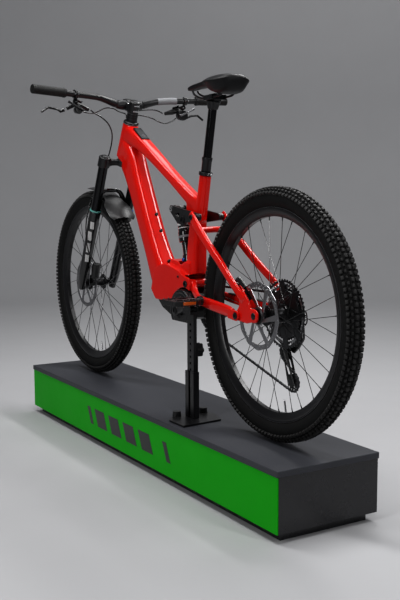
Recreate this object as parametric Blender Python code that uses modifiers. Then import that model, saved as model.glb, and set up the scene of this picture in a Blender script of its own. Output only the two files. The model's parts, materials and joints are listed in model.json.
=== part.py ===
"""Full-suspension electric mountain bike on a display plinth, held up by a crank-arm support stand.

Bike frame of reference used below, in metres: X points to the front wheel from the rear axle, Y to the
bike's left, Z up from the plinth's top board. The empty "deck_centre" turns it into the world frame, whose
origin is the middle of the whole object's footprint on the floor.
"""

import math

import bmesh
import bpy
from mathutils import Matrix, Vector

# Driving dimensions
WHEEL_RADIUS = 0.372
TYRE_GAP = 0.001
AXLE_Z = WHEEL_RADIUS + TYRE_GAP
WHEELBASE = 1.2515
HEAD_ANGLE = math.radians(65.0)
FORK_OFFSET = 0.044
LEG_Y = 0.0695
CRANK_LENGTH = 0.172
BAR_WIDTH = 0.790
PLINTH_HEIGHT = 0.200
PLINTH_X = (-0.255, 1.522)
PLINTH_Y = (-0.174, 0.174)
GAP = 0.0003

# Places in the bike's frame (x, z), the y is given where each piece is made
REAR_AXLE = (0.0, AXLE_Z)
FRONT_AXLE = (WHEELBASE, AXLE_Z)
BOTTOM_BRACKET = (0.444, 0.345)
MAIN_PIVOT = (0.430, 0.431)
HORST_PIVOT = (0.083, 0.366)
STAY_PIVOT = (0.368, 0.650)
ROCKER_PIVOT = (0.465, 0.640)
SHOCK_TOP = (0.540, 0.676)
SHOCK_FOOT = (0.490, 0.477)
CRANK_RISE = math.radians(16.0)
POST_X, POST_Y = 0.344, 0.078

STEER_UP = Vector((-math.cos(HEAD_ANGLE), 0, math.sin(HEAD_ANGLE)))
STEER_FRONT = Vector((math.sin(HEAD_ANGLE), 0, math.cos(HEAD_ANGLE)))
STEER_FOOT = Vector((FRONT_AXLE[0], 0, FRONT_AXLE[1])) - STEER_FRONT * FORK_OFFSET
SEAT_TOP = Vector((0.387, 0, 0.784))
SEAT_UP = Vector((-0.2097, 0, 0.9778))
BIKE_START_X = -WHEEL_RADIUS
BIKE_END_X = WHEELBASE + WHEEL_RADIUS

# Colours: base colour, roughness, metallic
RED = ((0.75, 0.012, 0.006), 0.22, 0.0)
BLACK = ((0.012, 0.012, 0.013), 0.38, 0.0)
RUBBER = ((0.018, 0.018, 0.018), 0.8, 0.0)
STEEL = ((0.45, 0.45, 0.46), 0.3, 1.0)
DARK_METAL = ((0.06, 0.06, 0.065), 0.35, 0.9)
GREEN = ((0.03, 0.42, 0.02), 0.45, 0.0)
BOARD = ((0.075, 0.077, 0.085), 0.6, 0.0)


# --- scene and finishing -------------------------------------------------------------------------

for old in list(bpy.data.objects):
    bpy.data.objects.remove(old, do_unlink=True)

parts = bpy.data.collections.new("bicycle_on_stand")
bpy.context.scene.collection.children.link(parts)
deck_centre = bpy.data.objects.new("deck_centre", None)
deck_centre.location = (-(BIKE_START_X + BIKE_END_X) / 2, 0, PLINTH_HEIGHT)
parts.objects.link(deck_centre)
materials = {}


def material_of(look):
    if look not in materials:
        colour, roughness, metallic = look
        made = bpy.data.materials.new(f"finish_{len(materials)}")
        made.use_nodes = True
        shader = made.node_tree.nodes["Principled BSDF"]
        shader.inputs["Base Color"].default_value = (*colour, 1)
        shader.inputs["Roughness"].default_value = roughness
        shader.inputs["Metallic"].default_value = metallic
        materials[look] = made
    return materials[look]


def raw(name, bm):
    """A scratch object in the bike's frame, made from bm."""
    bmesh.ops.recalc_face_normals(bm, faces=bm.faces)
    if bm.calc_volume(signed=True) < 0:
        bmesh.ops.reverse_faces(bm, faces=bm.faces)
    mesh = bpy.data.meshes.new(name)
    bm.to_mesh(mesh)
    bm.free()
    made = bpy.data.objects.new(name, mesh)
    bpy.context.scene.collection.objects.link(made)
    return made


def settled(thing):
    """The same object with its modifiers, or its curve, turned into a plain welded mesh."""
    bpy.context.view_layer.update()
    graph = bpy.context.evaluated_depsgraph_get()
    mesh = bpy.data.meshes.new_from_object(thing.evaluated_get(graph))
    bm = bmesh.new()
    bm.from_mesh(mesh)
    bm.transform(thing.matrix_world)
    bmesh.ops.remove_doubles(bm, verts=bm.verts, dist=1e-5)
    name = thing.name
    bpy.data.objects.remove(thing, do_unlink=True)
    return raw(name, bm)


def boolean(thing, tools, operation):
    for tool in tools:
        cut = thing.modifiers.new(operation, "BOOLEAN")
        cut.operation = operation
        cut.object = tool
    made = settled(thing)
    for tool in tools:
        bpy.data.objects.remove(tool, do_unlink=True)
    return made


def joined(thing, *others):
    return boolean(thing, others, "UNION")


def without(thing, *others):
    return boolean(thing, others, "DIFFERENCE")


def place(thing, name, look, pivot=(0, 0, 0)):
    """Finishes a piece: its origin goes on its pivot, and it joins the assembly."""
    pivot = Vector(pivot)
    thing.data.transform(Matrix.Translation(-pivot))
    thing.data.shade_smooth()
    thing.data.set_sharp_from_angle(angle=math.radians(35))
    thing.data.materials.clear()
    thing.data.materials.append(material_of(look))
    bpy.context.scene.collection.objects.unlink(thing)
    parts.objects.link(thing)
    thing.name = name
    thing.data.name = name
    thing.parent = deck_centre
    thing.location = pivot
    return thing


# --- shapes --------------------------------------------------------------------------------------

def box(low, high, bevel=0.0):
    low, high = Vector(low), Vector(high)
    bm = bmesh.new()
    bmesh.ops.create_cube(bm, size=1)
    bmesh.ops.scale(bm, vec=high - low, verts=bm.verts)
    bmesh.ops.translate(bm, vec=(low + high) / 2, verts=bm.verts)
    made = raw("box", bm)
    if bevel:
        edge = made.modifiers.new("Bevel", "BEVEL")
        edge.width = bevel
        edge.segments = 1
        made = settled(made)
    return made


def turned_to(start, end):
    """Matrix that takes the unit Z axis's middle onto the line from start to end."""
    start, end = Vector(start), Vector(end)
    turn = (end - start).to_track_quat("Z", "Y").to_matrix().to_4x4()
    return Matrix.Translation((start + end) / 2) @ turn


def rod(start, end, radius, end_radius=None, sides=16):
    bm = bmesh.new()
    far = radius if end_radius is None else end_radius
    length = (Vector(end) - Vector(start)).length
    bmesh.ops.create_cone(bm, cap_ends=True, segments=sides, radius1=radius, radius2=far, depth=length)
    bm.transform(turned_to(start, end))
    return raw("rod", bm)


def across(place_xz, y0, y1, radius, sides=16, end_radius=None):
    """A rod along Y."""
    x, z = place_xz
    return rod((x, y0, z), (x, y1, z), radius, end_radius, sides)


def turned(profile, centre, axis=(0, 1, 0), steps=32):
    """A turned piece: profile is a closed list of (radius, height along the axis)."""
    bm = bmesh.new()
    points = [bm.verts.new((r, 0, h)) for r, h in profile]
    for a, b in zip(points, points[1:] + points[:1]):
        if a.co.x > 0 or b.co.x > 0:
            bm.edges.new((a, b))
    mesh = bpy.data.meshes.new("turned")
    bm.to_mesh(mesh)
    bm.free()
    made = bpy.data.objects.new("turned", mesh)
    bpy.context.scene.collection.objects.link(made)
    screw = made.modifiers.new("Screw", "SCREW")
    screw.steps = steps
    screw.render_steps = steps
    screw.use_merge_vertices = True
    screw.merge_threshold = 1e-5
    centre = Vector(centre)
    made.matrix_world = Matrix.Translation(centre) @ Vector(axis).to_track_quat("Z", "Y").to_matrix().to_4x4()
    return settled(made)


def outline_plate(outlines, y0, y1):
    """A flat plate in the XZ plane from y0 to y1: the first outline is its edge, the others are holes."""
    curve = bpy.data.curves.new("plate", "CURVE")
    curve.dimensions = "2D"
    curve.fill_mode = "BOTH"
    curve.extrude = abs(y1 - y0) / 2
    for outline in outlines:
        spline = curve.splines.new("POLY")
        spline.points.add(len(outline) - 1)
        for point, (x, z) in zip(spline.points, outline):
            point.co = (x, z, 0, 1)
        spline.use_cyclic_u = True
    made = bpy.data.objects.new("plate", curve)
    bpy.context.scene.collection.objects.link(made)
    made.matrix_world = Matrix.Translation((0, (y0 + y1) / 2, 0)) @ Matrix.Rotation(math.pi / 2, 4, "X")
    return settled(made)


def arc(centre, radius, start, end, count):
    """Points on a circle in the XZ plane, angles in degrees from +X towards +Z."""
    angles = [math.radians(start + (end - start) * i / (count - 1)) for i in range(count)]
    return [(centre[0] + radius * math.cos(a), centre[1] + radius * math.sin(a)) for a in angles]


def circle(centre, radius, count=16):
    return arc(centre, radius, 0, 360 - 360 / count, count)


def limb(stations, sides=12, power=2.6):
    """A lofted tube. Each station is (x, y, z, half height in the side view, half width across)."""
    bm = bmesh.new()
    centres = [Vector(s[:3]) for s in stations]
    rings = []
    for i, station in enumerate(stations):
        along = (centres[min(i + 1, len(centres) - 1)] - centres[max(i - 1, 0)]).normalized()
        wide = Vector((0, 1, 0)) - along * along.y
        if wide.length < 0.2:
            wide = Vector((1, 0, 0)) - along * along.x
        wide.normalize()
        if rings and wide.dot(last) < 0:
            wide = -wide
        last = wide
        tall = along.cross(wide)
        ring = []
        for k in range(sides):
            a = 2 * math.pi * (k + 0.5) / sides
            c, s = math.cos(a), math.sin(a)
            grow = (abs(c) ** power + abs(s) ** power) ** (-1 / power)
            offset = wide * (c * grow * station[4]) + tall * (s * grow * station[3])
            ring.append(bm.verts.new(centres[i] + offset))
        rings.append(ring)
    for first, second in zip(rings, rings[1:]):
        for k in range(sides):
            bm.faces.new((first[k], first[(k + 1) % sides], second[(k + 1) % sides], second[k]))
    bm.faces.new(rings[0])
    bm.faces.new(rings[-1])
    return raw("limb", bm)


def smooth_route(points, spacing):
    """Points about `spacing` apart on the smooth curve through the given points."""
    points = [Vector(p) for p in points]
    padded = [points[0] * 2 - points[1], *points, points[-1] * 2 - points[-2]]
    route = []
    for a, b, c, d in zip(padded, padded[1:], padded[2:], padded[3:]):
        count = max(1, round((c - b).length / spacing))
        for i in range(count):
            t = i / count
            route.append(
                ((2 * b) + (c - a) * t + (2 * a - 5 * b + 4 * c - d) * t * t + (3 * b - a - 3 * c + d) * t ** 3) / 2
            )
    return [*route, points[-1]]


def hose(points, radius, spacing=0.015, resolution=2):
    curve = bpy.data.curves.new("hose", "CURVE")
    curve.dimensions = "3D"
    curve.bevel_depth = radius
    curve.bevel_resolution = resolution
    curve.use_fill_caps = True
    route = smooth_route(points, spacing)
    spline = curve.splines.new("POLY")
    spline.points.add(len(route) - 1)
    for point, at in zip(spline.points, route):
        point.co = (*at, 1)
    made = bpy.data.objects.new("hose", curve)
    bpy.context.scene.collection.objects.link(made)
    return settled(made)


def steer(t, forward=0.0, y=0.0):
    """A point t up the steering axis from the front axle's foot, and `forward` of it."""
    return STEER_FOOT + STEER_UP * t + STEER_FRONT * forward + Vector((0, y, 0))


def on_seat(s, forward=0.0, y=0.0):
    """A point s up the seat axis from the seat clamp."""
    return SEAT_TOP + SEAT_UP * s + Vector((SEAT_UP.z, 0, -SEAT_UP.x)) * forward + Vector((0, y, 0))


# --- plinth and stand ------------------------------------------------------------------------------

TOP_BOARD = 0.018
BASE_HEIGHT = 0.026
PANEL = 0.004
TOE = 0.022
WALL = 0.016


def plinth():
    (x0, x1), (y0, y1) = PLINTH_X, PLINTH_Y
    floor = -PLINTH_HEIGHT
    board = box((x0 - 0.003, y0 - 0.003, -TOP_BOARD), (x1 + 0.003, y1 + 0.003, 0), 0.0015)
    place(board, "plinth_top_board", BOARD)
    panel = box((x0, y1 - PANEL, floor + BASE_HEIGHT), (x1, y1, -TOP_BOARD - GAP), 0.0008)
    place(panel, "plinth_side_panel", GREEN)
    inner1 = y1 - PANEL - GAP
    carcass = box((x0, y0, floor + BASE_HEIGHT), (x1, inner1, -TOP_BOARD - GAP))
    base = box((x0 + TOE, y0 + TOE, floor), (x1 - TOE, inner1 - TOE, floor + BASE_HEIGHT + 0.01))
    inside = TOE + WALL
    hollow = box((x0 + inside, y0 + inside, floor - 0.01),
                 (x1 - inside, inner1 - inside, -TOP_BOARD - GAP - WALL))
    place(without(joined(carcass, base), hollow), "plinth_carcass", BLACK)


PLATE_TOP = 0.0063
POST_TOP = 0.158
TONGUE_TOP = 0.250
BAR_HALF_X, BAR_HALF_Y = 0.020, 0.006
BAR_TOP = 0.3460
BAR_LOW = 0.1050
KNOB_Z = 0.226
BASE_BOLTS = ((0.385, 0.112), (0.385, 0.012))


def stand():
    corners = [(0.262, 0.158), (0.352, 0.158), (0.408, 0.110), (0.408, 0.005), (0.352, -0.012), (0.275, 0.012)]
    bm = bmesh.new()
    face = bm.faces.new([bm.verts.new((x, y, GAP)) for x, y in corners])
    raised = bmesh.ops.extrude_face_region(bm, geom=[face])
    tops = [v for v in raised["geom"] if isinstance(v, bmesh.types.BMVert)]
    bmesh.ops.translate(bm, vec=(0, 0, PLATE_TOP - GAP), verts=tops)
    plate = raw("plate", bm)
    studs = [rod((x, y, 0.004), (x, y, 0.0225), 0.0150, 0.0130, 16) for x, y in BASE_BOLTS]
    place(joined(plate, *studs), "stand_base_plate", BLACK)

    wall = 0.0025
    half_x, half_y = BAR_HALF_X + 0.0060, BAR_HALF_Y + 0.0045
    low = PLATE_TOP + GAP
    post = box((POST_X - half_x, POST_Y - half_y, low), (POST_X + half_x, POST_Y + half_y, POST_TOP))
    room = box((POST_X - half_x + wall, POST_Y - half_y + wall, low - 0.01),
               (POST_X + half_x - wall, POST_Y + half_y - wall, POST_TOP + 0.01))
    slot = box((POST_X - 0.006, POST_Y, low - 0.01), (POST_X + 0.006, POST_Y + 0.05, POST_TOP + 0.01))
    post = without(post, room, slot)
    tongue = box((POST_X - 0.020, POST_Y - half_y, POST_TOP - 0.03),
                 (POST_X + 0.020, POST_Y - half_y + wall, TONGUE_TOP))
    post = joined(post, tongue)
    post = without(post, across((POST_X, KNOB_Z), POST_Y - 0.03, POST_Y + 0.03, 0.0046, 12))
    place(post, "stand_outer_post", BLACK)

    bar = box((POST_X - BAR_HALF_X, POST_Y - BAR_HALF_Y, BAR_LOW),
              (POST_X + BAR_HALF_X, POST_Y + BAR_HALF_Y, BAR_TOP))
    holes = [across((POST_X, KNOB_Z - 0.105 + 0.021 * i), POST_Y - 0.02, POST_Y + 0.02, 0.0046, 10)
             for i in range(10)]
    x0, x1 = POST_X - 0.024, POST_X + 0.024
    y0, y1 = 0.0680, 0.0985
    seat = box((x0, y0, BAR_TOP - 0.002), (x1, y1, BAR_TOP + 0.0055))
    lips = [box((x0, y, BAR_TOP + 0.001), (x1, y + 0.003, BAR_TOP + 0.020)) for y in (y0, y1 - 0.003)]
    place(joined(without(bar, *holes), seat, *lips), "stand_inner_bar", BLACK, (POST_X, POST_Y, BAR_TOP))

    screw = across((POST_X, KNOB_Z), POST_Y - BAR_HALF_Y - GAP, POST_Y - half_y - 0.004, 0.0040, 10)
    back = POST_Y - half_y - GAP
    lobes = []
    for i in range(36):
        a = 2 * math.pi * i / 36
        r = 0.021 + 0.0025 * math.cos(6 * a)
        lobes.append((POST_X + r * math.cos(a), KNOB_Z + r * math.sin(a)))
    knob = outline_plate([lobes], back - 0.021, back)
    place(joined(knob, screw), "stand_knob", BLACK, (POST_X, back, KNOB_Z))


# --- main frame ------------------------------------------------------------------------------------

HEAD_LOW, HEAD_HIGH = 0.565, 0.699
STEERER_RADIUS = 0.0165
STEERER_TOP = 0.7790
STEM_LOW = 0.7400
HEAD_BORE = 0.0215
SEAT_BORE = 0.0162
DROPPER_ROOM = 0.0146
CRADLE_HALF = 0.052
CAVITY_HALF = 0.0445


def main_frame():
    down = limb([
        (0.955, 0, 0.885, 0.060, 0.030),
        (0.900, 0, 0.845, 0.052, 0.034),
        (0.838, 0, 0.745, 0.041, 0.036),
        (0.728, 0, 0.550, 0.039, 0.037),
        (0.655, 0, 0.440, 0.050, 0.041),
        (0.600, 0, 0.400, 0.055, 0.046),
    ], 14, 3.4)
    top = limb([
        (0.935, 0, 0.952, 0.034, 0.028),
        (0.880, 0, 0.935, 0.030, 0.027),
        (0.760, 0, 0.876, 0.021, 0.024),
        (0.600, 0, 0.785, 0.018, 0.021),
        (0.470, 0, 0.711, 0.022, 0.020),
        (0.405, 0, 0.680, 0.026, 0.018),
    ], 12, 3.2)
    head = rod(steer(HEAD_LOW), steer(HEAD_HIGH), 0.0310, 0.0290, 24)
    seat = rod(on_seat(-0.150), on_seat(0), 0.0200, 0.0190, 20)
    lower_seat = limb([
        (0.424, 0, 0.690, 0.020, 0.019),
        (0.436, 0, 0.600, 0.028, 0.023),
        (0.443, 0, 0.520, 0.031, 0.025),
        (0.446, 0, 0.458, 0.032, 0.026),
    ], 12, 4.0)
    gusset = outline_plate([[(0.420, 0.700), (0.480, 0.712), (0.486, 0.650), (0.474, 0.624), (0.440, 0.610)]],
                           -0.018, 0.018)
    foot = outline_plate([[(0.440, 0.500), (0.478, 0.500), (0.504, 0.488), (0.520, 0.500), (0.570, 0.505),
                           (0.600, 0.440), (0.560, 0.410), (0.480, 0.430), (0.474, 0.458), (0.440, 0.460)]],
                         -0.0300, 0.0300)
    cradle = outline_plate([[
        (0.638, 0.362), (0.672, 0.396), (0.648, 0.470), (0.600, 0.487), (0.560, 0.490), (0.510, 0.480),
        (0.478, 0.470), (0.440, 0.456), (0.412, 0.450), (0.404, 0.430), (0.408, 0.409),
        *arc(BOTTOM_BRACKET, 0.0725, 112, 14, 9),
    ]], -CRADLE_HALF, CRADLE_HALF)
    body = joined(cradle, down, top, head, seat, lower_seat, gusset, foot)
    bores = [
        rod(steer(HEAD_LOW - 0.02), steer(HEAD_HIGH + 0.02), HEAD_BORE, sides=24),
        rod(on_seat(-0.120), on_seat(0.02), SEAT_BORE, sides=20),
        rod(on_seat(-0.262), on_seat(-0.10), DROPPER_ROOM, sides=16),
        rod(steer(0.44), steer(HEAD_LOW), 0.0620, sides=24),
        limb([(0.7990, 0, 0.9205, 0.0060, 0.0166), (0.8670, 0, 0.9642, 0.0060, 0.0166)], 8, 6),
        outline_plate([[(0.650, 0.340), (0.650, 0.395), (0.610, 0.425), (0.490, 0.425), (0.4762, 0.452),
                        (0.395, 0.470), (0.380, 0.440), (0.380, 0.330)]], -CAVITY_HALF, CAVITY_HALF),
        across(MAIN_PIVOT, -0.07, 0.07, 0.0066, 12),
        across(ROCKER_PIVOT, -0.05, 0.05, 0.0066, 12),
        box((0.4755, -0.0255, 0.462), (0.526, 0.0255, 0.56)),
        across(SHOCK_FOOT, -0.05, 0.05, 0.0044, 12),
    ]
    return place(without(body, *bores), "main_frame", RED)


MOTOR_LOW = 0.3070


def frame_fittings():
    """What is fixed to the main frame: motor, its covers, cups, collar, display and port."""
    motor = outline_plate([[
        (0.634, 0.388), (0.606, 0.420), (0.500, 0.420), (0.466, 0.4075), (0.4075, 0.400),
        (0.386, 0.372), (0.386, 0.345), (0.400, 0.322), (0.440, 0.310), (0.530, 0.312), (0.600, 0.336),
        (0.634, 0.362),
    ]], -0.0440, 0.0440)
    covers = []
    for sign, reach in ((1, 0.0660), (-1, 0.0470)):
        near = 0.0380
        covers.append(turned([(0.0, reach), (0.052, reach), (0.0655, reach - 0.0015), (0.0700, near), (0.0, near)],
                             (BOTTOM_BRACKET[0], 0, BOTTOM_BRACKET[1]), (0, sign, 0), 32))
    motor = joined(motor, *covers)
    motor = without(motor, across(BOTTOM_BRACKET, -0.08, 0.08, 0.0155, 16),
                    box((0.34, -0.08, 0.25), (0.55, 0.08, MOTOR_LOW)))
    place(motor, "motor_unit", BLACK)

    cover = turned([(STEERER_RADIUS + 0.0008, 0.0097), (0.0250, 0.0097), (0.0290, 0.0050), (0.0290, 0),
                    (STEERER_RADIUS + 0.0008, 0)], steer(HEAD_HIGH + GAP), STEER_UP, 20)
    place(cover, "upper_headset_cover", BLACK)
    collar = turned([(0.0166, 0.011), (0.0215, 0.011), (0.0225, 0.009), (0.0225, 0), (0.0166, 0)],
                    on_seat(GAP), SEAT_UP, 20)
    lever = limb([(*on_seat(0.006, -0.020, 0.006), 0.004, 0.003),
                  (*on_seat(0.006, -0.029, 0.002), 0.004, 0.004)], 8)
    place(joined(collar, lever), "seat_collar", BLACK)

    display = limb([(0.8000, 0, 0.9240, 0.0022, 0.016), (0.8660, 0, 0.9664, 0.0022, 0.016)], 8, 6)
    place(display, "top_tube_display", BLACK)


# --- suspension --------------------------------------------------------------------------------------

def mirrored(build):
    """The same build on both sides: build(sign) gives the objects of one side."""
    return [made for sign in (1, -1) for made in build(sign)]


def chainstays():
    def side(s):
        arm = limb([
            (0.426, s * 0.026, 0.430, 0.013, 0.012),
            (0.402, s * 0.035, 0.418, 0.012, 0.010),
            (0.372, s * 0.0445, 0.402, 0.012, 0.0070),
            (0.330, s * 0.0560, 0.389, 0.014, 0.0075),
            (0.250, s * 0.0640, 0.382, 0.017, 0.0085),
            (0.150, s * 0.0700, 0.374, 0.017, 0.0085),
            (0.112, s * 0.0745, 0.370, 0.015, 0.0085),
        ], 10, 3.0)
        cheek = outline_plate([[(0.125, 0.385), *arc(HORST_PIVOT, 0.0155, 95, 265, 9), (0.125, 0.355)]],
                              s * 0.0783, s * 0.0850)
        return arm, cheek
    hub = across(MAIN_PIVOT, -0.0435, 0.0435, 0.0150, 20)
    body = joined(hub, *mirrored(side))
    body = without(body, *[across(HORST_PIVOT, s * 0.060, s * 0.095, 0.0046, 12) for s in (1, -1)])
    body = joined(body, across(MAIN_PIVOT, -0.0515, 0.0515, 0.0063, 12))
    x, z = MAIN_PIVOT
    place(body, "chainstays", RED, (x, 0, z))


def seatstays():
    def side(s):
        stay = limb([
            (0.380, s * 0.0600, 0.662, 0.012, 0.0050),
            (0.350, s * 0.0610, 0.632, 0.015, 0.0070),
            (0.290, s * 0.0620, 0.583, 0.013, 0.0090),
            (0.200, s * 0.0655, 0.519, 0.012, 0.0090),
            (0.110, s * 0.0745, 0.457, 0.012, 0.0065),
            (0.052, s * 0.0750, 0.416, 0.013, 0.0055),
        ], 10, 3.0)
        dropout = outline_plate([[
            (0.078, 0.432), (0.060, 0.446), (0.030, 0.418), (0.016, 0.394),
            *arc(REAR_AXLE, 0.0200, 85, 290, 12),
            (0.036, 0.348), *arc(HORST_PIVOT, 0.0150, -110, 75, 8), (0.075, 0.395),
        ]], s * 0.0705, s * 0.0778)
        return stay, dropout
    bridge = limb([(0.326, -0.058, 0.609, 0.010, 0.010), (0.332, 0, 0.611, 0.010, 0.011),
                   (0.326, 0.058, 0.609, 0.010, 0.010)], 10)
    sides = mirrored(side)
    body = joined(bridge, *sides)
    body = without(
        body,
        *[across(STAY_PIVOT, s * 0.050, s * 0.075, 0.0046, 12) for s in (1, -1)],
        *[across(HORST_PIVOT, s * 0.060, s * 0.095, 0.0046, 12) for s in (1, -1)],
        *[across(REAR_AXLE, s * 0.060, s * 0.095, 0.0068, 12) for s in (1, -1)],
    )
    x, z = HORST_PIVOT
    place(body, "seatstays", RED, (x, 0, z))


def rocker():
    def side(s):
        plate = outline_plate([[
            *arc(SHOCK_TOP, 0.0130, 70, -70, 6), (0.500, 0.628), *arc(ROCKER_PIVOT, 0.0190, -60, -150, 5),
            *arc(STAY_PIVOT, 0.0125, -120, -250, 6), (0.440, 0.672),
        ]], s * 0.0330, s * 0.0420)
        tip = across(STAY_PIVOT, s * 0.0340, s * 0.0520, 0.0115, 16)
        return plate, tip
    top = across(SHOCK_TOP, -0.0400, 0.0400, 0.0085, 16)
    axle = across(ROCKER_PIVOT, -0.0410, 0.0410, 0.0063, 12)
    body = joined(top, axle, *mirrored(side))
    x, z = ROCKER_PIVOT
    place(body, "rocker_link", BLACK, (x, 0, z))


def shock():
    top = Vector((SHOCK_TOP[0], 0, SHOCK_TOP[1]))
    foot = Vector((SHOCK_FOOT[0], 0, SHOCK_FOOT[1]))
    up = (top - foot).normalized()
    length = (top - foot).length
    can = turned([
        (0.0, 0.190), (0.0190, 0.190), (0.0215, 0.184), (0.0215, 0.125), (0.0235, 0.122), (0.0235, 0.092),
        (0.0220, 0.089), (0.0195, 0.089), (0.0195, 0.180), (0.0, 0.180),
    ], foot, up, 18)
    ears = [across(SHOCK_TOP, s * 0.0090, s * 0.0300, 0.0125, 16) for s in (1, -1)]
    necks = [box((SHOCK_TOP[0] - 0.011, s * 0.015 - 0.006, 0.655),
                 (SHOCK_TOP[0] + 0.009, s * 0.015 + 0.006, 0.676))
             for s in (1, -1)]
    can = joined(can, *necks, *ears)
    can = without(can, across(SHOCK_TOP, -0.05, 0.05, 0.0090, 16))
    place(can, "shock_air_can", BLACK, top)
    body = rod(foot + up * 0.010, foot + up * (length - 0.092), 0.0150, sides=20)
    eye = across(SHOCK_FOOT, -0.0195, 0.0195, 0.0125, 16)
    bolt = across(SHOCK_FOOT, -0.0315, 0.0315, 0.0041, 10)
    place(joined(body, eye, bolt), "shock_damper_body", DARK_METAL, foot)


def rear_axle():
    place(across(REAR_AXLE, -0.0800, 0.0800, 0.0064, 12), "rear_thru_axle", DARK_METAL)


# --- wheels ------------------------------------------------------------------------------------------

RIM_INNER = 0.2850
SPOKES = 32


def wheel(name, axle, half_hub, rotor_y, flange_right, flange_left):
    centre = (axle[0], 0, axle[1])
    outer = [(0.3720, 0.0085), (0.3660, 0.0240), (0.3450, 0.0310), (0.3200, 0.0220), (0.3122, 0.0141),
             (0.3090, 0.0138)]
    inner = [(0.3090, 0.0116), (0.3360, 0.0220), (0.3560, 0.0160)]
    half = outer + inner
    tyre = turned(half + [(r, -h) for r, h in reversed(half)], centre, steps=32)
    place(tyre, f"{name}_tyre", RUBBER, centre)
    rim = turned([
        (0.3115, 0.0170), (0.3040, 0.0172), (RIM_INNER, 0.0080), (RIM_INNER, -0.0080),
        (0.3040, -0.0172), (0.3115, -0.0170), (0.3115, -0.0146), (0.3060, -0.0143),
        (0.3060, 0.0143), (0.3115, 0.0146),
    ], centre, steps=32)

    hub = turned([
        (0.0078, half_hub), (0.0105, half_hub), (0.0105, flange_left + 0.003), (0.0290, flange_left + 0.002),
        (0.0290, flange_left - 0.002), (0.0170, flange_left - 0.008), (0.0150, 0.0), (0.0170, flange_right + 0.008),
        (0.0290, flange_right + 0.002), (0.0290, flange_right - 0.002), (0.0105, flange_right - 0.003),
        (0.0105, -half_hub), (0.0078, -half_hub),
    ], centre, steps=12)
    spokes = bmesh.new()
    for i in range(SPOKES):
        flange = flange_left if i % 2 else flange_right
        lean = 1 if (i // 2) % 2 else -1
        rim_angle = 2 * math.pi * (i + 0.5) / SPOKES
        hub_angle = rim_angle + lean * math.radians(65)
        inset = 0.0011 * lean
        start = Vector((0.0265 * math.cos(hub_angle), flange + inset, 0.0265 * math.sin(hub_angle)))
        end = Vector(((RIM_INNER + 0.0020) * math.cos(rim_angle), 0.0030 if i % 2 else -0.0030,
                      (RIM_INNER + 0.0020) * math.sin(rim_angle)))
        bmesh.ops.create_cone(spokes, cap_ends=True, segments=3, radius1=0.0012, radius2=0.0012,
                              depth=(end - start).length,
                              matrix=Matrix.Translation(centre) @ turned_to(start, end))
    place(joined(rim, raw("spokes", spokes), hub), f"{name}_wheel", BLACK, centre)

    rotor_outline = [circle(axle, 0.1000, 32)]
    for i in range(6):
        a = 60 * i
        rotor_outline.append([*arc(axle, 0.0845, a, a + 46, 5), *arc(axle, 0.0290, a + 66, a + 38, 3)])
    rotor_outline.append(circle(axle, 0.0112, 14))
    rotor = outline_plate(rotor_outline, rotor_y, rotor_y + 0.0020)
    place(rotor, f"{name}_rotor", STEEL, centre)


def cassette():
    steps = [(0.1030, -0.0300), (0.1030, -0.0325), (0.0800, -0.0360), (0.0610, -0.0430),
             (0.0520, -0.0464), (0.0520, -0.0526), (0.0440, -0.0530), (0.0330, -0.0580),
             (0.0210, -0.0660), (0.0112, -0.0660), (0.0112, -0.0300)]
    centre = (REAR_AXLE[0], 0, REAR_AXLE[1])
    place(turned(steps[::-1], centre, steps=22), "cassette", DARK_METAL, centre)


# --- drivetrain ----------------------------------------------------------------------------------------

CHAIN_Y = -0.0560
CHAIN_LINE_REAR = -0.0495
CHAIN_LIFT = 0.0012
RING_RADIUS = 0.0720
UPPER_PULLEY = (0.012, 0.258)
LOWER_PULLEY = (-0.022, 0.172)
PULLEY_RADIUS = 0.0235
CHAIN_HALF = 0.0032


def crank_point(distance, up=0.0):
    """A point along the left crank arm, in the XZ plane."""
    c, s = math.cos(CRANK_RISE), math.sin(CRANK_RISE)
    return (BOTTOM_BRACKET[0] - c * distance + s * up, BOTTOM_BRACKET[1] + s * distance + c * up)


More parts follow.
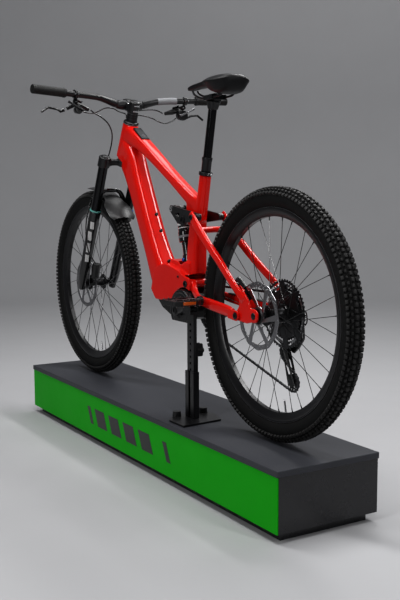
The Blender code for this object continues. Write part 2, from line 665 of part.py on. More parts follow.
def cranks():
    for side, s in (("left", 1), ("right", -1)):
        reach = [crank_point(s * d) for d in (0.0, 0.03, 0.09, 0.150, CRANK_LENGTH)]
        ys = [0.0765, 0.0770, 0.0820, 0.0865, 0.0875]
        tall = [0.0175, 0.0150, 0.0120, 0.0125, 0.0140]
        wide = [0.0085, 0.0080, 0.0070, 0.0065, 0.0065]
        arm = limb([(x, s * y, z, t, w) for (x, z), y, t, w in zip(reach, ys, tall, wide)], 10, 3.2)
        boss = across(BOTTOM_BRACKET, s * 0.0685, s * 0.0850, 0.0195, 20)
        tip = across(crank_point(s * CRANK_LENGTH), s * 0.0810, s * 0.0940, 0.0150, 16)
        arm = joined(arm, boss, tip)
        if s < 0:
            arm = without(arm, across(BOTTOM_BRACKET, -0.06, -0.10, 0.0125, 16))
        else:
            arm = joined(arm, across(BOTTOM_BRACKET, -0.0830, 0.0750, 0.0120, 16))
        pedal_at = crank_point(s * CRANK_LENGTH)
        arm = joined(arm, across(pedal_at, s * 0.0850, s * 0.1940, 0.0052, 12),
                     across(pedal_at, s * 0.0900, s * 0.0985, 0.0085, 12))
        x, z = BOTTOM_BRACKET
        place(arm, f"crank_{side}", BLACK, (x, 0, z))
    ring = [circle(BOTTOM_BRACKET, RING_RADIUS, 30)]
    for i in range(5):
        a = 72 * i + 10
        ring.append([*arc(BOTTOM_BRACKET, 0.0600, a, a + 44, 4), *arc(BOTTOM_BRACKET, 0.0270, a + 36, a + 8, 2)])
    ring.append(circle(BOTTOM_BRACKET, 0.0125, 16))
    ring = outline_plate(ring, CHAIN_Y - 0.0011, CHAIN_Y + 0.0011)
    spider = turned([(0.0125, 0.0666), (0.0240, 0.0666), (0.0260, 0.0560), (0.0255, 0.0500), (0.0125, 0.0500)],
                    (BOTTOM_BRACKET[0], 0, BOTTOM_BRACKET[1]), (0, -1, 0), 20)
    x, z = BOTTOM_BRACKET
    place(joined(ring, spider), "chainring", DARK_METAL, (x, 0, z))


def pedals():
    for side, s in (("left", 1), ("right", -1)):
        x, z = crank_point(s * CRANK_LENGTH)
        near, far = s * 0.1010, s * 0.2050
        half, slim = 0.0500, 0.0085
        outline = [(near, -0.036), (near, 0.036), (s * 0.122, half), (s * 0.186, half), (far, 0.038), (far, -0.038),
                   (s * 0.186, -half), (s * 0.122, -half)]
        bm = bmesh.new()
        face = bm.faces.new([bm.verts.new((x + dx, y, z - slim)) for y, dx in outline])
        raised = bmesh.ops.extrude_face_region(bm, geom=[face])
        tops = [v for v in raised["geom"] if isinstance(v, bmesh.types.BMVert)]
        bmesh.ops.translate(bm, vec=(0, 0, 2 * slim), verts=tops)
        body = raw("pedal", bm)
        near_y, far_y = sorted((s * 0.118, s * 0.190))
        windows = [box((x + a, near_y, z - 0.03), (x + b, far_y, z + 0.03))
                   for a, b in ((-0.040, -0.014), (0.014, 0.040))]
        body = without(body, *windows, across((x, z), s * 0.09, s * 0.1955, 0.0056, 12))
        place(body, f"pedal_{side}", BLACK, (x, 0, z))


def chain_route():
    """The chain's middle line in the XZ plane: arcs round each wheel, joined by their tangents."""
    wheels = [
        (BOTTOM_BRACKET, RING_RADIUS + CHAIN_HALF + CHAIN_LIFT, 1),
        (REAR_AXLE, 0.0520 + CHAIN_HALF + CHAIN_LIFT, 1),
        (UPPER_PULLEY, PULLEY_RADIUS + CHAIN_HALF + CHAIN_LIFT, -1),
        (LOWER_PULLEY, PULLEY_RADIUS + CHAIN_HALF + CHAIN_LIFT, 1),
    ]
    ends = []
    for (c1, r1, s1), (c2, r2, s2) in zip(wheels, wheels[1:] + wheels[:1]):
        gap = Vector((c2[0] - c1[0], c2[1] - c1[1]))
        facing = math.atan2(gap.y, gap.x)
        swing = math.acos((r1 * s1 - r2 * s2) / gap.length)
        normal = facing - swing
        ends.append((normal if s1 > 0 else normal + math.pi, normal if s2 > 0 else normal + math.pi))
    route = []
    for i, (centre, radius, sense) in enumerate(wheels):
        arrive, leave = ends[i - 1][1], ends[i][0]
        turn = (leave - arrive) * sense % (2 * math.pi) * sense
        count = max(3, round(abs(turn) / 0.22))
        for k in range(count + 1):
            a = arrive + turn * k / count
            route.append((centre[0] + radius * math.cos(a), centre[1] + radius * math.sin(a)))
    return route


def chain():
    route = [Vector(p) for p in chain_route()]
    count = len(route)
    bm = bmesh.new()
    rings = []
    for i, here in enumerate(route):
        along = (route[(i + 1) % count] - route[i - 1]).normalized()
        out = Vector((along.y, -along.x)) * CHAIN_HALF
        share = min(1, max(0, here.x / BOTTOM_BRACKET[0]))
        y = CHAIN_LINE_REAR + (CHAIN_Y - CHAIN_LINE_REAR) * share
        rings.append([bm.verts.new((here.x + side * out.x, y + dy, here.y + side * out.y))
                      for side, dy in ((1, 0.0026), (1, -0.0026), (-1, -0.0026), (-1, 0.0026))])
    for first, second in zip(rings, rings[1:] + rings[:1]):
        for k in range(4):
            bm.faces.new((first[k], first[(k + 1) % 4], second[(k + 1) % 4], second[k]))
    x, z = BOTTOM_BRACKET
    place(raw("chain", bm), "chain", DARK_METAL, (x, 0, z))


def derailleur():
    knuckle = (-0.004, 0.326)
    body = limb([
        (0.006, -0.0880, 0.352, 0.014, 0.0060),
        (-0.010, -0.0860, 0.330, 0.016, 0.0080),
        (-0.020, -0.0780, 0.300, 0.015, 0.0110),
        (-0.006, -0.0740, 0.278, 0.014, 0.0110),
        (0.012, -0.0730, 0.262, 0.014, 0.0090),
    ], 10, 2.6)
    hanger = across(REAR_AXLE, -0.0815, -0.0925, 0.0150, 16)
    arm = limb([(REAR_AXLE[0], -0.0865, REAR_AXLE[1], 0.010, 0.0050),
                (0.006, -0.0870, 0.350, 0.011, 0.0050)], 8, 3)
    body = joined(body, hanger, arm)
    place(body, "derailleur_body", BLACK, (knuckle[0], 0, knuckle[1]))
    hull = [*arc(UPPER_PULLEY, 0.0140, 20, 160, 5), *arc(LOWER_PULLEY, 0.0130, 160, 340, 6)]
    plates = [outline_plate([hull], y0, y0 + 0.0018) for y0 in (-0.0442, -0.0570)]
    pins = [across(c, -0.0575, -0.0430, 0.0040, 10) for c in (UPPER_PULLEY, LOWER_PULLEY)]
    hub = across(UPPER_PULLEY, -0.0560, -0.0612, 0.0110, 16)
    place(joined(plates[0], plates[1], *pins, hub), "derailleur_cage", BLACK,
          (UPPER_PULLEY[0], 0, UPPER_PULLEY[1]))
    for name, centre in (("guide_pulley", UPPER_PULLEY), ("tension_pulley", LOWER_PULLEY)):
        pulley = turned([(0.0043, 0.0045), (0.0090, 0.0045), (0.0090, 0.0012), (PULLEY_RADIUS, 0.0012),
                         (PULLEY_RADIUS, -0.0012), (0.0090, -0.0012), (0.0090, -0.0045), (0.0043, -0.0045)],
                        (centre[0], CHAIN_LINE_REAR, centre[1]), steps=16)
        place(pulley, name, BLACK, (centre[0], 0, centre[1]))


# --- front end -----------------------------------------------------------------------------------------

STANCHION_RADIUS = 0.0180
LEG_FORWARD = 0.0220


SEAL_T = 0.332


def fork():
    crown_t = HEAD_LOW - 0.0068
    race = rod(steer(crown_t - 0.026), steer(crown_t), 0.0260, 0.0240, 24)
    steerer = rod(steer(crown_t - 0.010), steer(STEERER_TOP), STEERER_RADIUS, sides=20)
    stanchions = [rod(steer(0.300, LEG_FORWARD, s * LEG_Y), steer(0.552, LEG_FORWARD, s * LEG_Y),
                      STANCHION_RADIUS, sides=18) for s in (1, -1)]
    bridge = limb([
        (*steer(0.533, LEG_FORWARD, -LEG_Y), 0.0225, 0.0170),
        (*steer(0.5385, 0.013, -0.040), 0.0130, 0.0170),
        (*steer(0.5435, 0.0015, 0), 0.0130, 0.0200),
        (*steer(0.5385, 0.013, 0.040), 0.0130, 0.0170),
        (*steer(0.533, LEG_FORWARD, LEG_Y), 0.0225, 0.0170),
    ], 10, 3.0)
    bosses = [rod(steer(0.517, LEG_FORWARD, s * LEG_Y), steer(0.556, LEG_FORWARD, s * LEG_Y),
                  0.0235, 0.0225, 20) for s in (1, -1)]
    upper = joined(bridge, race, steerer, *bosses, *stanchions)
    place(upper, "fork_upper", BLACK, STEER_FOOT)

    lower = []
    for s in (1, -1):
        leg = limb([
            (*steer(SEAL_T, LEG_FORWARD, s * LEG_Y), 0.0225, 0.0225),
            (*steer(SEAL_T - 0.035, LEG_FORWARD, s * LEG_Y), 0.0215, 0.0215),
            (*steer(0.150, LEG_FORWARD, s * LEG_Y), 0.0205, 0.0205),
            (*steer(0.045, LEG_FORWARD + 0.002, s * LEG_Y), 0.0200, 0.0195),
            (*steer(-0.016, LEG_FORWARD + 0.006, s * 0.0680), 0.0160, 0.0130),
        ], 14, 2.0)
        drop = outline_plate([[
            *arc(FRONT_AXLE, 0.0150, -60, 90, 7),
            tuple(steer(0.060, 0.034).xz), tuple(steer(0.060, 0.010).xz), tuple(steer(-0.014, 0.010).xz),
        ]], s * 0.0580, s * 0.0760)
        lower += [leg, drop]
    arch = limb([
        (*steer(0.312, 0.034, -LEG_Y), 0.0120, 0.0140),
        (*steer(0.352, 0.047, -0.062), 0.0100, 0.0120),
        (*steer(0.396, 0.057, -0.038), 0.0085, 0.0085),
        (*steer(0.404, 0.058, 0), 0.0085, 0.0110),
        (*steer(0.396, 0.057, 0.038), 0.0085, 0.0085),
        (*steer(0.352, 0.047, 0.062), 0.0100, 0.0120),
        (*steer(0.312, 0.034, LEG_Y), 0.0120, 0.0140),
    ], 8, 3.0)
    lowers = joined(arch, *lower)
    bores = [rod(steer(0.060, LEG_FORWARD, s * LEG_Y), steer(0.46, LEG_FORWARD, s * LEG_Y), 0.0186, sides=18)
             for s in (1, -1)]
    lowers = without(lowers, *bores, across(FRONT_AXLE, -0.1, 0.1, 0.0079, 14))
    place(lowers, "fork_lowers", BLACK, STEER_FOOT)
    place(across(FRONT_AXLE, -0.0780, 0.0780, 0.0072, 14), "front_thru_axle", DARK_METAL)


def mudguard():
    """A thin curved sheet over the tyre: narrow where it passes under the arch, wide and drooping behind it."""
    bm = bmesh.new()
    rows = []
    last = 10
    for i in range(last + 1):
        turn = math.radians(92 + 44 * i / last)
        behind = min(1, max(0, (i - 5.5) / 2))
        width = 0.035 + 0.019 * behind
        if i == last:
            width = 0.040
        row = []
        for k in range(7):
            side = -1 + 2 * k / 6
            r = 0.3850 - (0.0060 + 0.0080 * behind) * side * side
            row.append(bm.verts.new((FRONT_AXLE[0] + r * math.cos(turn), side * width,
                                     FRONT_AXLE[1] + r * math.sin(turn))))
        rows.append(row)
    for first, second in zip(rows, rows[1:]):
        for k in range(6):
            bm.faces.new((first[k], first[k + 1], second[k + 1], second[k]))
    sheet = raw("mudguard", bm)
    thick = sheet.modifiers.new("Solidify", "SOLIDIFY")
    thick.thickness = 0.0020
    thick.offset = 0
    place(settled(sheet), "front_mudguard", BLACK)


BAR_CENTRE = Vector((0.9300, 0, 1.0550))


def cockpit():
    half = BAR_WIDTH / 2
    c = BAR_CENTRE
    path = [(0, 0.0, 0.0, 0.0175), (0.030, 0.0, 0.0, 0.0175), (0.050, -0.001, 0.0015, 0.0150),
            (0.085, -0.004, 0.011, 0.0125), (0.125, -0.010, 0.0200, 0.0113), (0.160, -0.0150, 0.0225, 0.0111),
            (0.250, -0.0290, 0.0260, 0.0111), (half - 0.002, -0.0500, 0.0310, 0.0111)]
    stations = [(c.x + dx, -y, c.z + dz, r, r) for y, dx, dz, r in path[:0:-1]]
    stations += [(c.x + dx, y, c.z + dz, r, r) for y, dx, dz, r in path]
    place(limb(stations, 14, 2.0), "handlebar", BLACK, STEER_FOOT)

    clamp = turned([(0.0, 0.0440), (0.0180, 0.0440), (0.0200, 0.0410), (0.0200, 0.0), (0.0, 0.0)],
                   steer(STEM_LOW), STEER_UP, 24)
    spacer = rod(steer(HEAD_HIGH + 0.0105), steer(STEM_LOW + 0.0010), 0.0210, 0.0190, 24)
    body = limb([(*(c - STEER_FRONT * 0.030), 0.0160, 0.019), (*(c - STEER_FRONT * 0.006), 0.0205, 0.0220),
                 (*(c + STEER_FRONT * 0.0210), 0.0190, 0.0200)], 10, 3.4)
    body = joined(clamp, body, spacer)
    body = without(body, rod((c.x, -0.05, c.z), (c.x, 0.05, c.z), 0.0179, sides=24),
                   rod(steer(0.68), steer(STEERER_TOP + GAP), STEERER_RADIUS + GAP, sides=24))
    place(body, "stem", BLACK, STEER_FOOT)

    for side, s in (("left", 1), ("right", -1)):
        tip = Vector((c.x - 0.0500, s * (half - 0.002), c.z + 0.0310))
        line = (tip - Vector((c.x - 0.0290, s * 0.2500, c.z + 0.0260))).normalized()
        a, b = tip - line * 0.128, tip + line * 0.0006
        shell = rod(a, b + line * 0.0022, 0.0158, 0.0160, 18)
        shell = without(shell, rod(a - line * 0.01, b, 0.0115, sides=18))
        place(shell, f"grip_{side}", RUBBER, STEER_FOOT)


PADDLE_HINGE = (0.8925, 0.203, 1.0260)


def controls():
    c = BAR_CENTRE
    for side, s in (("left", 1), ("right", -1)):
        bx, bz = c.x - 0.0252, c.z + 0.0250
        ring = turned([(0.0127, 0.006), (0.0160, 0.006), (0.0160, -0.006), (0.0127, -0.006)],
                      (bx, s * 0.225, bz), (0.152, -s * 1.0, 0), 16)
        master = limb([
            (bx + 0.003, s * 0.224, bz - 0.0215, 0.008, 0.009),
            (bx + 0.026, s * 0.216, bz - 0.0310, 0.0110, 0.0110),
            (bx + 0.036, s * 0.186, bz - 0.0400, 0.0105, 0.0105),
            (bx + 0.038, s * 0.158, bz - 0.0470, 0.0065, 0.0065),
        ], 10, 2.4)
        knee = limb([(bx + 0.026, s * 0.214, bz - 0.0310, 0.0090, 0.0090),
                     (bx + 0.040, s * 0.243, bz - 0.0480, 0.0065, 0.0065)], 8, 2.4)
        stalk = limb([(bx + 0.020, s * 0.216, bz - 0.0300, 0.0080, 0.0080),
                      (bx + 0.004, s * 0.212, bz - 0.0500, 0.0080, 0.0080)], 8, 2.8)
        tall, wide = (0.0150, 0.0150) if s > 0 else (0.0200, 0.0220)
        pod = limb([(bx + 0.018, s * 0.214, bz - 0.0540, tall - 0.003, wide - 0.003),
                    (bx - 0.002, s * 0.214, bz - 0.0540, tall, wide),
                    (bx - 0.0084, s * 0.214, bz - 0.0540, tall - 0.002, wide - 0.002)], 14, 2.2)
        place(joined(ring, master, knee, stalk, pod), f"brake_master_{side}", BLACK, STEER_FOOT)
        pivot = Vector((bx + 0.047, s * 0.2520, bz - 0.0500))
        blade = limb([
            (*(pivot + Vector((-0.001, -s * 0.0030, -0.002))), 0.0060, 0.0065),
            (*(pivot + Vector((0.004, s * 0.0100, -0.007))), 0.0058, 0.0055),
            (*(pivot + Vector((0.005, s * 0.0300, 0.001))), 0.0058, 0.0045),
            (*(pivot + Vector((0.003, s * 0.0580, 0.004))), 0.0058, 0.0042),
            (*(pivot + Vector((0.0025, s * 0.0830, -0.013))), 0.0050, 0.0042),
        ], 8, 2.4)
        place(blade, f"brake_lever_{side}", BLACK, pivot)
        x, y, z = PADDLE_HINGE
        paddle = limb([(x, s * (y - 0.004), z - 0.002, 0.0028, 0.0045),
                       (x, s * (y + 0.026), z + 0.011, 0.0028, 0.0032),
                       (x - 0.002, s * (y + 0.055), z + 0.026, 0.0028, 0.0050)], 8, 3)
        name = "shifter_paddle" if s < 0 else "dropper_lever"
        place(paddle, name, BLACK, Vector((x, s * y, z)))


# --- seat ------------------------------------------------------------------------------------------------

def seat():
    outer = turned([(0.0157, 0.058), (0.0170, 0.058), (0.0170, 0.050), (0.0157, 0.047), (0.0157, -0.110),
                    (0.0140, -0.110), (0.0140, 0.056), (0.0140, 0.058)], on_seat(0), SEAT_UP, 18)
    place(outer, "dropper_outer_tube", BLACK)
    top = 0.228
    inner = rod(on_seat(-0.105), on_seat(top - 0.004), 0.0137, sides=20)
    head = limb([(*on_seat(top - 0.014), 0.016, 0.0150), (*on_seat(top + 0.008), 0.021, 0.0210)], 10, 3.0)
    place(joined(inner, head), "dropper_inner_tube", BLACK, SEAT_TOP)
    rail_z = 1.0240
    rails = []
    for s in (1, -1):
        rails.append(hose([(0.242, s * 0.0200, 1.0600), (0.244, s * 0.0205, 1.0460),
                           (0.258, s * 0.0215, rail_z + 0.004), (0.290, s * 0.0220, rail_z),
                           (0.360, s * 0.0220, rail_z), (0.400, s * 0.0190, rail_z + 0.008),
                           (0.436, s * 0.0120, 1.0440), (0.450, s * 0.0090, 1.0510)], 0.0035, 0.02))
    clamp = box((0.304, -0.0275, rail_z - 0.0040), (0.356, 0.0275, rail_z + 0.0080), 0.001)
    place(joined(clamp, *rails), "saddle_rails_and_clamp", STEEL, SEAT_TOP)
    saddle = limb([
        (0.204, 0, 1.0560, 0.0120, 0.026),
        (0.212, 0, 1.0550, 0.0220, 0.044),
        (0.232, 0, 1.0550, 0.0300, 0.060),
        (0.262, 0, 1.0560, 0.0310, 0.069),
        (0.292, 0, 1.0600, 0.0260, 0.065),
        (0.320, 0, 1.0660, 0.0185, 0.050),
        (0.352, 0, 1.0700, 0.0125, 0.034),
        (0.410, 0, 1.0700, 0.0098, 0.022),
        (0.465, 0, 1.0660, 0.0090, 0.018),
        (0.482, 0, 1.0625, 0.0055, 0.011),
    ], 16, 2.6)
    hollow = limb([(0.226, 0, 1.0400, 0.0220, 0.030), (0.270, 0, 1.0400, 0.0250, 0.038),
                   (0.345, 0, 1.0430, 0.0220, 0.028), (0.400, 0, 1.0430, 0.0180, 0.018)], 10, 4.0)
    saddle = without(saddle, hollow)
    place(saddle, "saddle", RUBBER, SEAT_TOP)


# --- brakes and lines ------------------------------------------------------------------------------------

def calipers():
    rear = limb([(0.048, 0.0569, 0.4200, 0.0130, 0.0092), (0.060, 0.0569, 0.4290, 0.0170, 0.0097),
                 (0.100, 0.0569, 0.4600, 0.0170, 0.0097), (0.113, 0.0569, 0.4700, 0.0120, 0.0090)], 8, 4)
    rear = without(rear, outline_plate([circle(REAR_AXLE, 0.1030, 32)], 0.0560, 0.0640))
    place(rear, "rear_caliper", BLACK)
    front = limb([(*steer(0.058, -0.022, 0.0420), 0.0130, 0.0160),
                  (*steer(0.118, -0.016, 0.0420), 0.0130, 0.0160)], 8, 4)
    front = without(front, outline_plate([circle(FRONT_AXLE, 0.1030, 32)], 0.0370, 0.0450))
    place(front, "front_caliper", BLACK)


def line_end(y, forward):
    """Where a line goes down into the upper headset cover."""
    return [tuple(steer(0.7230, forward + 0.008, y)), tuple(steer(0.7108, forward, y))]


def lines():
    front = [(0.9450, 0.1485, 1.0310), (0.949, 0.130, 1.021), (0.951, 0.104, 1.009), (0.953, 0.077, 0.988),
             (0.967, 0.055, 0.959), (0.988, 0.045, 0.924), (1.030, 0.038, 0.8775), tuple(steer(0.470, 0.062, 0.048)),
             tuple(steer(0.400, 0.078, 0.056)), tuple(steer(0.330, 0.062, 0.080)), tuple(steer(0.260, 0.026, 0.0955)),
             tuple(steer(0.185, -0.010, 0.090)), tuple(steer(0.146, -0.021, 0.068)),
             tuple(steer(0.1225, -0.020, 0.050))]
    place(hose(front, 0.0025), "front_brake_hose", BLACK)
    rear = [(0.9450, -0.1485, 1.0335), (0.942, -0.135, 1.040), (0.957, -0.115, 1.047), (0.972, -0.080, 1.045),
            (0.972, -0.035, 1.037), *line_end(-0.003, 0.0245)]
    place(hose(rear, 0.0025), "rear_brake_hose_front", BLACK)
    dropper = [(0.922, 0.1955, 1.024), (0.930, 0.170, 1.020), (0.935, 0.140, 1.0205), (0.928, 0.100, 1.0390),
               (0.945, 0.060, 1.042), (0.958, 0.030, 1.034), *line_end(0.012, 0.0220)]
    place(hose(dropper, 0.0022), "dropper_cable", BLACK)
    shift = [(0.912, -0.1885, 1.016), (0.915, -0.178, 1.005), (0.921, -0.150, 0.995), (0.934, -0.130, 1.000),
             (0.953, -0.110, 1.014), (0.975, -0.085, 1.024), (0.984, -0.052, 1.027), (0.968, -0.030, 1.022),
             *line_end(-0.0165, 0.0175)]
    place(hose(shift, 0.0022), "shift_cable_front", BLACK)
    loop = [(0.112, -0.0890, 0.376), (0.080, -0.0940, 0.392), (0.030, -0.094, 0.398), (-0.016, -0.096, 0.382),
            (-0.032, -0.092, 0.352), (-0.026, -0.090, 0.338)]
    place(hose(loop, 0.0022), "shift_cable_rear", BLACK)


plinth()
stand()
main_frame()
frame_fittings()
chainstays()
seatstays()
rocker()
shock()
rear_axle()
wheel("rear", REAR_AXLE, 0.0690, 0.0590, -0.0270, 0.0330)
wheel("front", FRONT_AXLE, 0.0540, 0.0400, -0.0340, 0.0260)
cassette()
cranks()
pedals()
chain()
derailleur()
fork()
mudguard()
cockpit()
controls()
seat()
calipers()
lines()
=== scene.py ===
"""The looks of the electric mountain bike on its display plinth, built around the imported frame.

Shapes are modelled in the bike's own frame, as metres from the rear axle's foot on the plinth: X to the front
wheel, Y to the bike's left, Z up. finished() moves each piece into the row frame and puts it on its body.
"""

import json
import math

import bmesh
import bpy
from mathutils import Matrix, Vector


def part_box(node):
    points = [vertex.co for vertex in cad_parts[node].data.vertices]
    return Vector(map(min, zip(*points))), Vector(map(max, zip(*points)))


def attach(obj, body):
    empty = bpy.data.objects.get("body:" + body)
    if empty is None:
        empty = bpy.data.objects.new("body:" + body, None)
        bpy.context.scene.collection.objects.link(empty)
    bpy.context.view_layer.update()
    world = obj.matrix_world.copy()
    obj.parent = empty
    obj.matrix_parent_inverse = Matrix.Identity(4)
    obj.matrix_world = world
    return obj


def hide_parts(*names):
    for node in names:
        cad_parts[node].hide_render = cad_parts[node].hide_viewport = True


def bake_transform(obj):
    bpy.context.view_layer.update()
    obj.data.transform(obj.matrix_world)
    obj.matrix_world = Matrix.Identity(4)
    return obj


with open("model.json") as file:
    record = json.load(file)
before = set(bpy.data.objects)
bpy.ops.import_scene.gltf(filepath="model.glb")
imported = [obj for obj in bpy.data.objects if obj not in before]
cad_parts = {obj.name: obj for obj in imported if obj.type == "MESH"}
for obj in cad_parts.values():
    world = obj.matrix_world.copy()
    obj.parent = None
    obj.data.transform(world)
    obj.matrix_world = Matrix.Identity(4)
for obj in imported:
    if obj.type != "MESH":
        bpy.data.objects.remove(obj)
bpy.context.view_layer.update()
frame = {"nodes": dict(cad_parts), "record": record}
BODY = {node: body for body, members in frame["record"]["behaviour"]["bodies"].items() for node in members}


def middle(node):
    low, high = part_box(node)
    return (low + high) / 2


# The bike's frame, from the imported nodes
DECK_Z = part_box("plinth_top_board")[1].z
ORIGIN = Vector((middle("rear_tyre").x, 0, DECK_Z))
REAR_AXLE = (0.0, middle("rear_tyre").z - DECK_Z)
FRONT_AXLE = (middle("front_tyre").x - ORIGIN.x, middle("front_tyre").z - DECK_Z)
BOTTOM_BRACKET = (0.444, 0.345)
MAIN_PIVOT = (0.430, 0.431)
HORST_PIVOT = (0.083, 0.366)
STAY_PIVOT = (0.368, 0.650)
ROCKER_PIVOT = (0.465, 0.640)
SHOCK_TOP = (0.540, 0.676)
SHOCK_FOOT = (0.490, 0.477)
UPPER_PULLEY = (0.012, 0.258)
LOWER_PULLEY = (-0.022, 0.172)
CRANK_LENGTH = 0.172
CRANK_RISE = math.radians(16.0)
HEAD_ANGLE = math.radians(65.0)
FORK_OFFSET = 0.044
LEG_Y = 0.0695
LEG_FORWARD = 0.0220
HEAD_LOW, HEAD_HIGH = 0.565, 0.699
SEAL_T = 0.332
STEERER_TOP = 0.7790
STEM_LOW = 0.7400
BAR_CENTRE = Vector((0.9300, 0, 1.0550))
BAR_HALF = 0.395
STEER_UP = Vector((-math.cos(HEAD_ANGLE), 0, math.sin(HEAD_ANGLE)))
STEER_FRONT = Vector((math.sin(HEAD_ANGLE), 0, math.cos(HEAD_ANGLE)))
STEER_FOOT = Vector((FRONT_AXLE[0], 0, FRONT_AXLE[1])) - STEER_FRONT * FORK_OFFSET
SEAT_TOP = Vector((0.387, 0, 0.784))
SEAT_UP = Vector((-0.2097, 0, 0.9778))
GAP = 0.0003
SIDES = (("left", 1), ("right", -1))


# --- materials ---------------------------------------------------------------------------------------

materials = {}


def linked(tree, kind, **values):
    node = tree.nodes.new(kind)
    for name, value in values.items():
        node.inputs[name.replace("_", " ")].default_value = value
    return node


def surface(name, colour, second, roughness, metallic=0.0, coat=0.0, mottle=60.0, grain=900.0, bump=0.05,
            rough_spread=0.08, stretch=(1, 1, 1), sheen=0.0, clearcoat_roughness=0.04, specular=0.35):
    """A procedural finish: two colours mixed by soft noise, uneven roughness and a fine grain in the bump."""
    if name in materials:
        return materials[name]
    made = bpy.data.materials.new(name)
    made.use_nodes = True
    tree = made.node_tree
    shader = tree.nodes["Principled BSDF"]
    place = tree.nodes.new("ShaderNodeTexCoord")
    mapping = linked(tree, "ShaderNodeMapping", Scale=stretch)
    tree.links.new(place.outputs["Object"], mapping.inputs["Vector"])
    cloud = linked(tree, "ShaderNodeTexNoise", Scale=mottle, Detail=4.0, Roughness=0.6)
    fine = linked(tree, "ShaderNodeTexNoise", Scale=grain, Detail=2.0)
    for noise in (cloud, fine):
        tree.links.new(mapping.outputs["Vector"], noise.inputs["Vector"])
    mix = tree.nodes.new("ShaderNodeMix")
    mix.data_type = "RGBA"
    mix.inputs["A"].default_value = (*colour, 1)
    mix.inputs["B"].default_value = (*second, 1)
    tree.links.new(cloud.outputs["Fac"], mix.inputs["Factor"])
    tree.links.new(mix.outputs["Result"], shader.inputs["Base Color"])
    spread = linked(tree, "ShaderNodeMapRange", To_Min=roughness - rough_spread, To_Max=roughness + rough_spread)
    tree.links.new(cloud.outputs["Fac"], spread.inputs["Value"])
    tree.links.new(spread.outputs["Result"], shader.inputs["Roughness"])
    relief = linked(tree, "ShaderNodeBump", Strength=bump, Distance=0.001)
    tree.links.new(fine.outputs["Fac"], relief.inputs["Height"])
    tree.links.new(relief.outputs["Normal"], shader.inputs["Normal"])
    shader.inputs["Metallic"].default_value = metallic
    shader.inputs["Specular IOR Level"].default_value = specular
    shader.inputs["Coat Weight"].default_value = coat
    shader.inputs["Coat Roughness"].default_value = clearcoat_roughness
    shader.inputs["Sheen Weight"].default_value = sheen
    materials[name] = made
    return made


RED = surface("red_paint", (0.66, 0.008, 0.003), (0.58, 0.006, 0.002), 0.42, coat=0.7, mottle=25, grain=260,
              bump=0.006,
              specular=0.06)
DARK_RED = surface("red_anodised", (0.45, 0.01, 0.01), (0.35, 0.008, 0.008), 0.3, 0.8, mottle=200, bump=0.02)
SATIN = surface("black_satin", (0.006, 0.006, 0.007), (0.010, 0.010, 0.011), 0.34, coat=0.25, bump=0.03,
                clearcoat_roughness=0.25)
GLOSS = surface("black_gloss", (0.005, 0.005, 0.006), (0.008, 0.008, 0.009), 0.22, coat=0.8, bump=0.008,
                rough_spread=0.04)
PLASTIC = surface("black_moulded", (0.010, 0.010, 0.011), (0.016, 0.016, 0.017), 0.46, grain=1500, bump=0.12)
RUBBER = surface("grip_rubber", (0.008, 0.008, 0.008), (0.013, 0.013, 0.013), 0.52, grain=1800, bump=0.15)
TREAD = surface("tread_rubber", (0.012, 0.012, 0.012), (0.022, 0.021, 0.021), 0.55, mottle=90, grain=1400, bump=0.15)
CASING = surface("casing_rubber", (0.005, 0.005, 0.005), (0.009, 0.009, 0.009), 0.64, mottle=40, grain=1600,
                 bump=0.10,
                 specular=0.2)
STEEL = surface("brushed_steel", (0.34, 0.34, 0.35), (0.24, 0.24, 0.25), 0.30, 1.0, mottle=300, grain=2200, bump=0.05,
                stretch=(1, 6, 1))
DARK_STEEL = surface("dark_steel", (0.10, 0.10, 0.105), (0.05, 0.05, 0.052), 0.34, 0.95, mottle=300, bump=0.05)
CHROME = surface("polished_steel", (0.62, 0.62, 0.63), (0.55, 0.55, 0.56), 0.14, 1.0, mottle=200, bump=0.01,
                 rough_spread=0.05)
ANODISED = surface("black_anodised", (0.030, 0.030, 0.032), (0.045, 0.045, 0.047), 0.34, 0.85, mottle=200, bump=0.03)
STANCHION = surface("stanchion_black", (0.022, 0.022, 0.024), (0.030, 0.030, 0.032), 0.16, 0.9, mottle=120, bump=0.01,
                    rough_spread=0.03)
GREEN = surface("green_panel", (0.008, 0.380, 0.006), (0.006, 0.340, 0.005), 0.48, mottle=9, grain=700, bump=0.03,
                specular=0.12)
BOARD = surface("grey_laminate", (0.034, 0.036, 0.044), (0.050, 0.052, 0.060), 0.50, mottle=700, grain=1800,
                bump=0.10)
CARCASS = surface("black_laminate", (0.010, 0.010, 0.012), (0.015, 0.015, 0.017), 0.26, mottle=30, grain=900,
                  bump=0.03,
                  coat=0.4)
COVER = surface("saddle_cover", (0.007, 0.007, 0.008), (0.012, 0.012, 0.013), 0.42, mottle=150, grain=1100, bump=0.15,
                specular=0.22)
GUARD = surface("mudguard_sheet", (0.020, 0.020, 0.021), (0.028, 0.028, 0.029), 0.42, mottle=40, grain=1400,
                bump=0.06)
WHITE = surface("white_mark", (0.62, 0.62, 0.62), (0.55, 0.55, 0.55), 0.40, mottle=200, bump=0.01)
GREY = surface("grey_mark", (0.20, 0.20, 0.21), (0.16, 0.16, 0.17), 0.45, mottle=300, bump=0.02)
BLUE = surface("blue_anodised", (0.02, 0.10, 0.45), (0.015, 0.08, 0.36), 0.30, 0.7, mottle=200, bump=0.02)
TEAL = surface("teal_seal", (0.10, 0.30, 0.27), (0.08, 0.24, 0.22), 0.40, mottle=200, bump=0.02)
SLEEVE = surface("woven_sleeve", (0.30, 0.31, 0.32), (0.12, 0.12, 0.13), 0.60, mottle=900, grain=1400, bump=0.4)
ORANGE = surface("reflector_orange", (0.50, 0.10, 0.01), (0.42, 0.07, 0.01), 0.25, mottle=600, grain=900, bump=0.25,
                 coat=0.6)
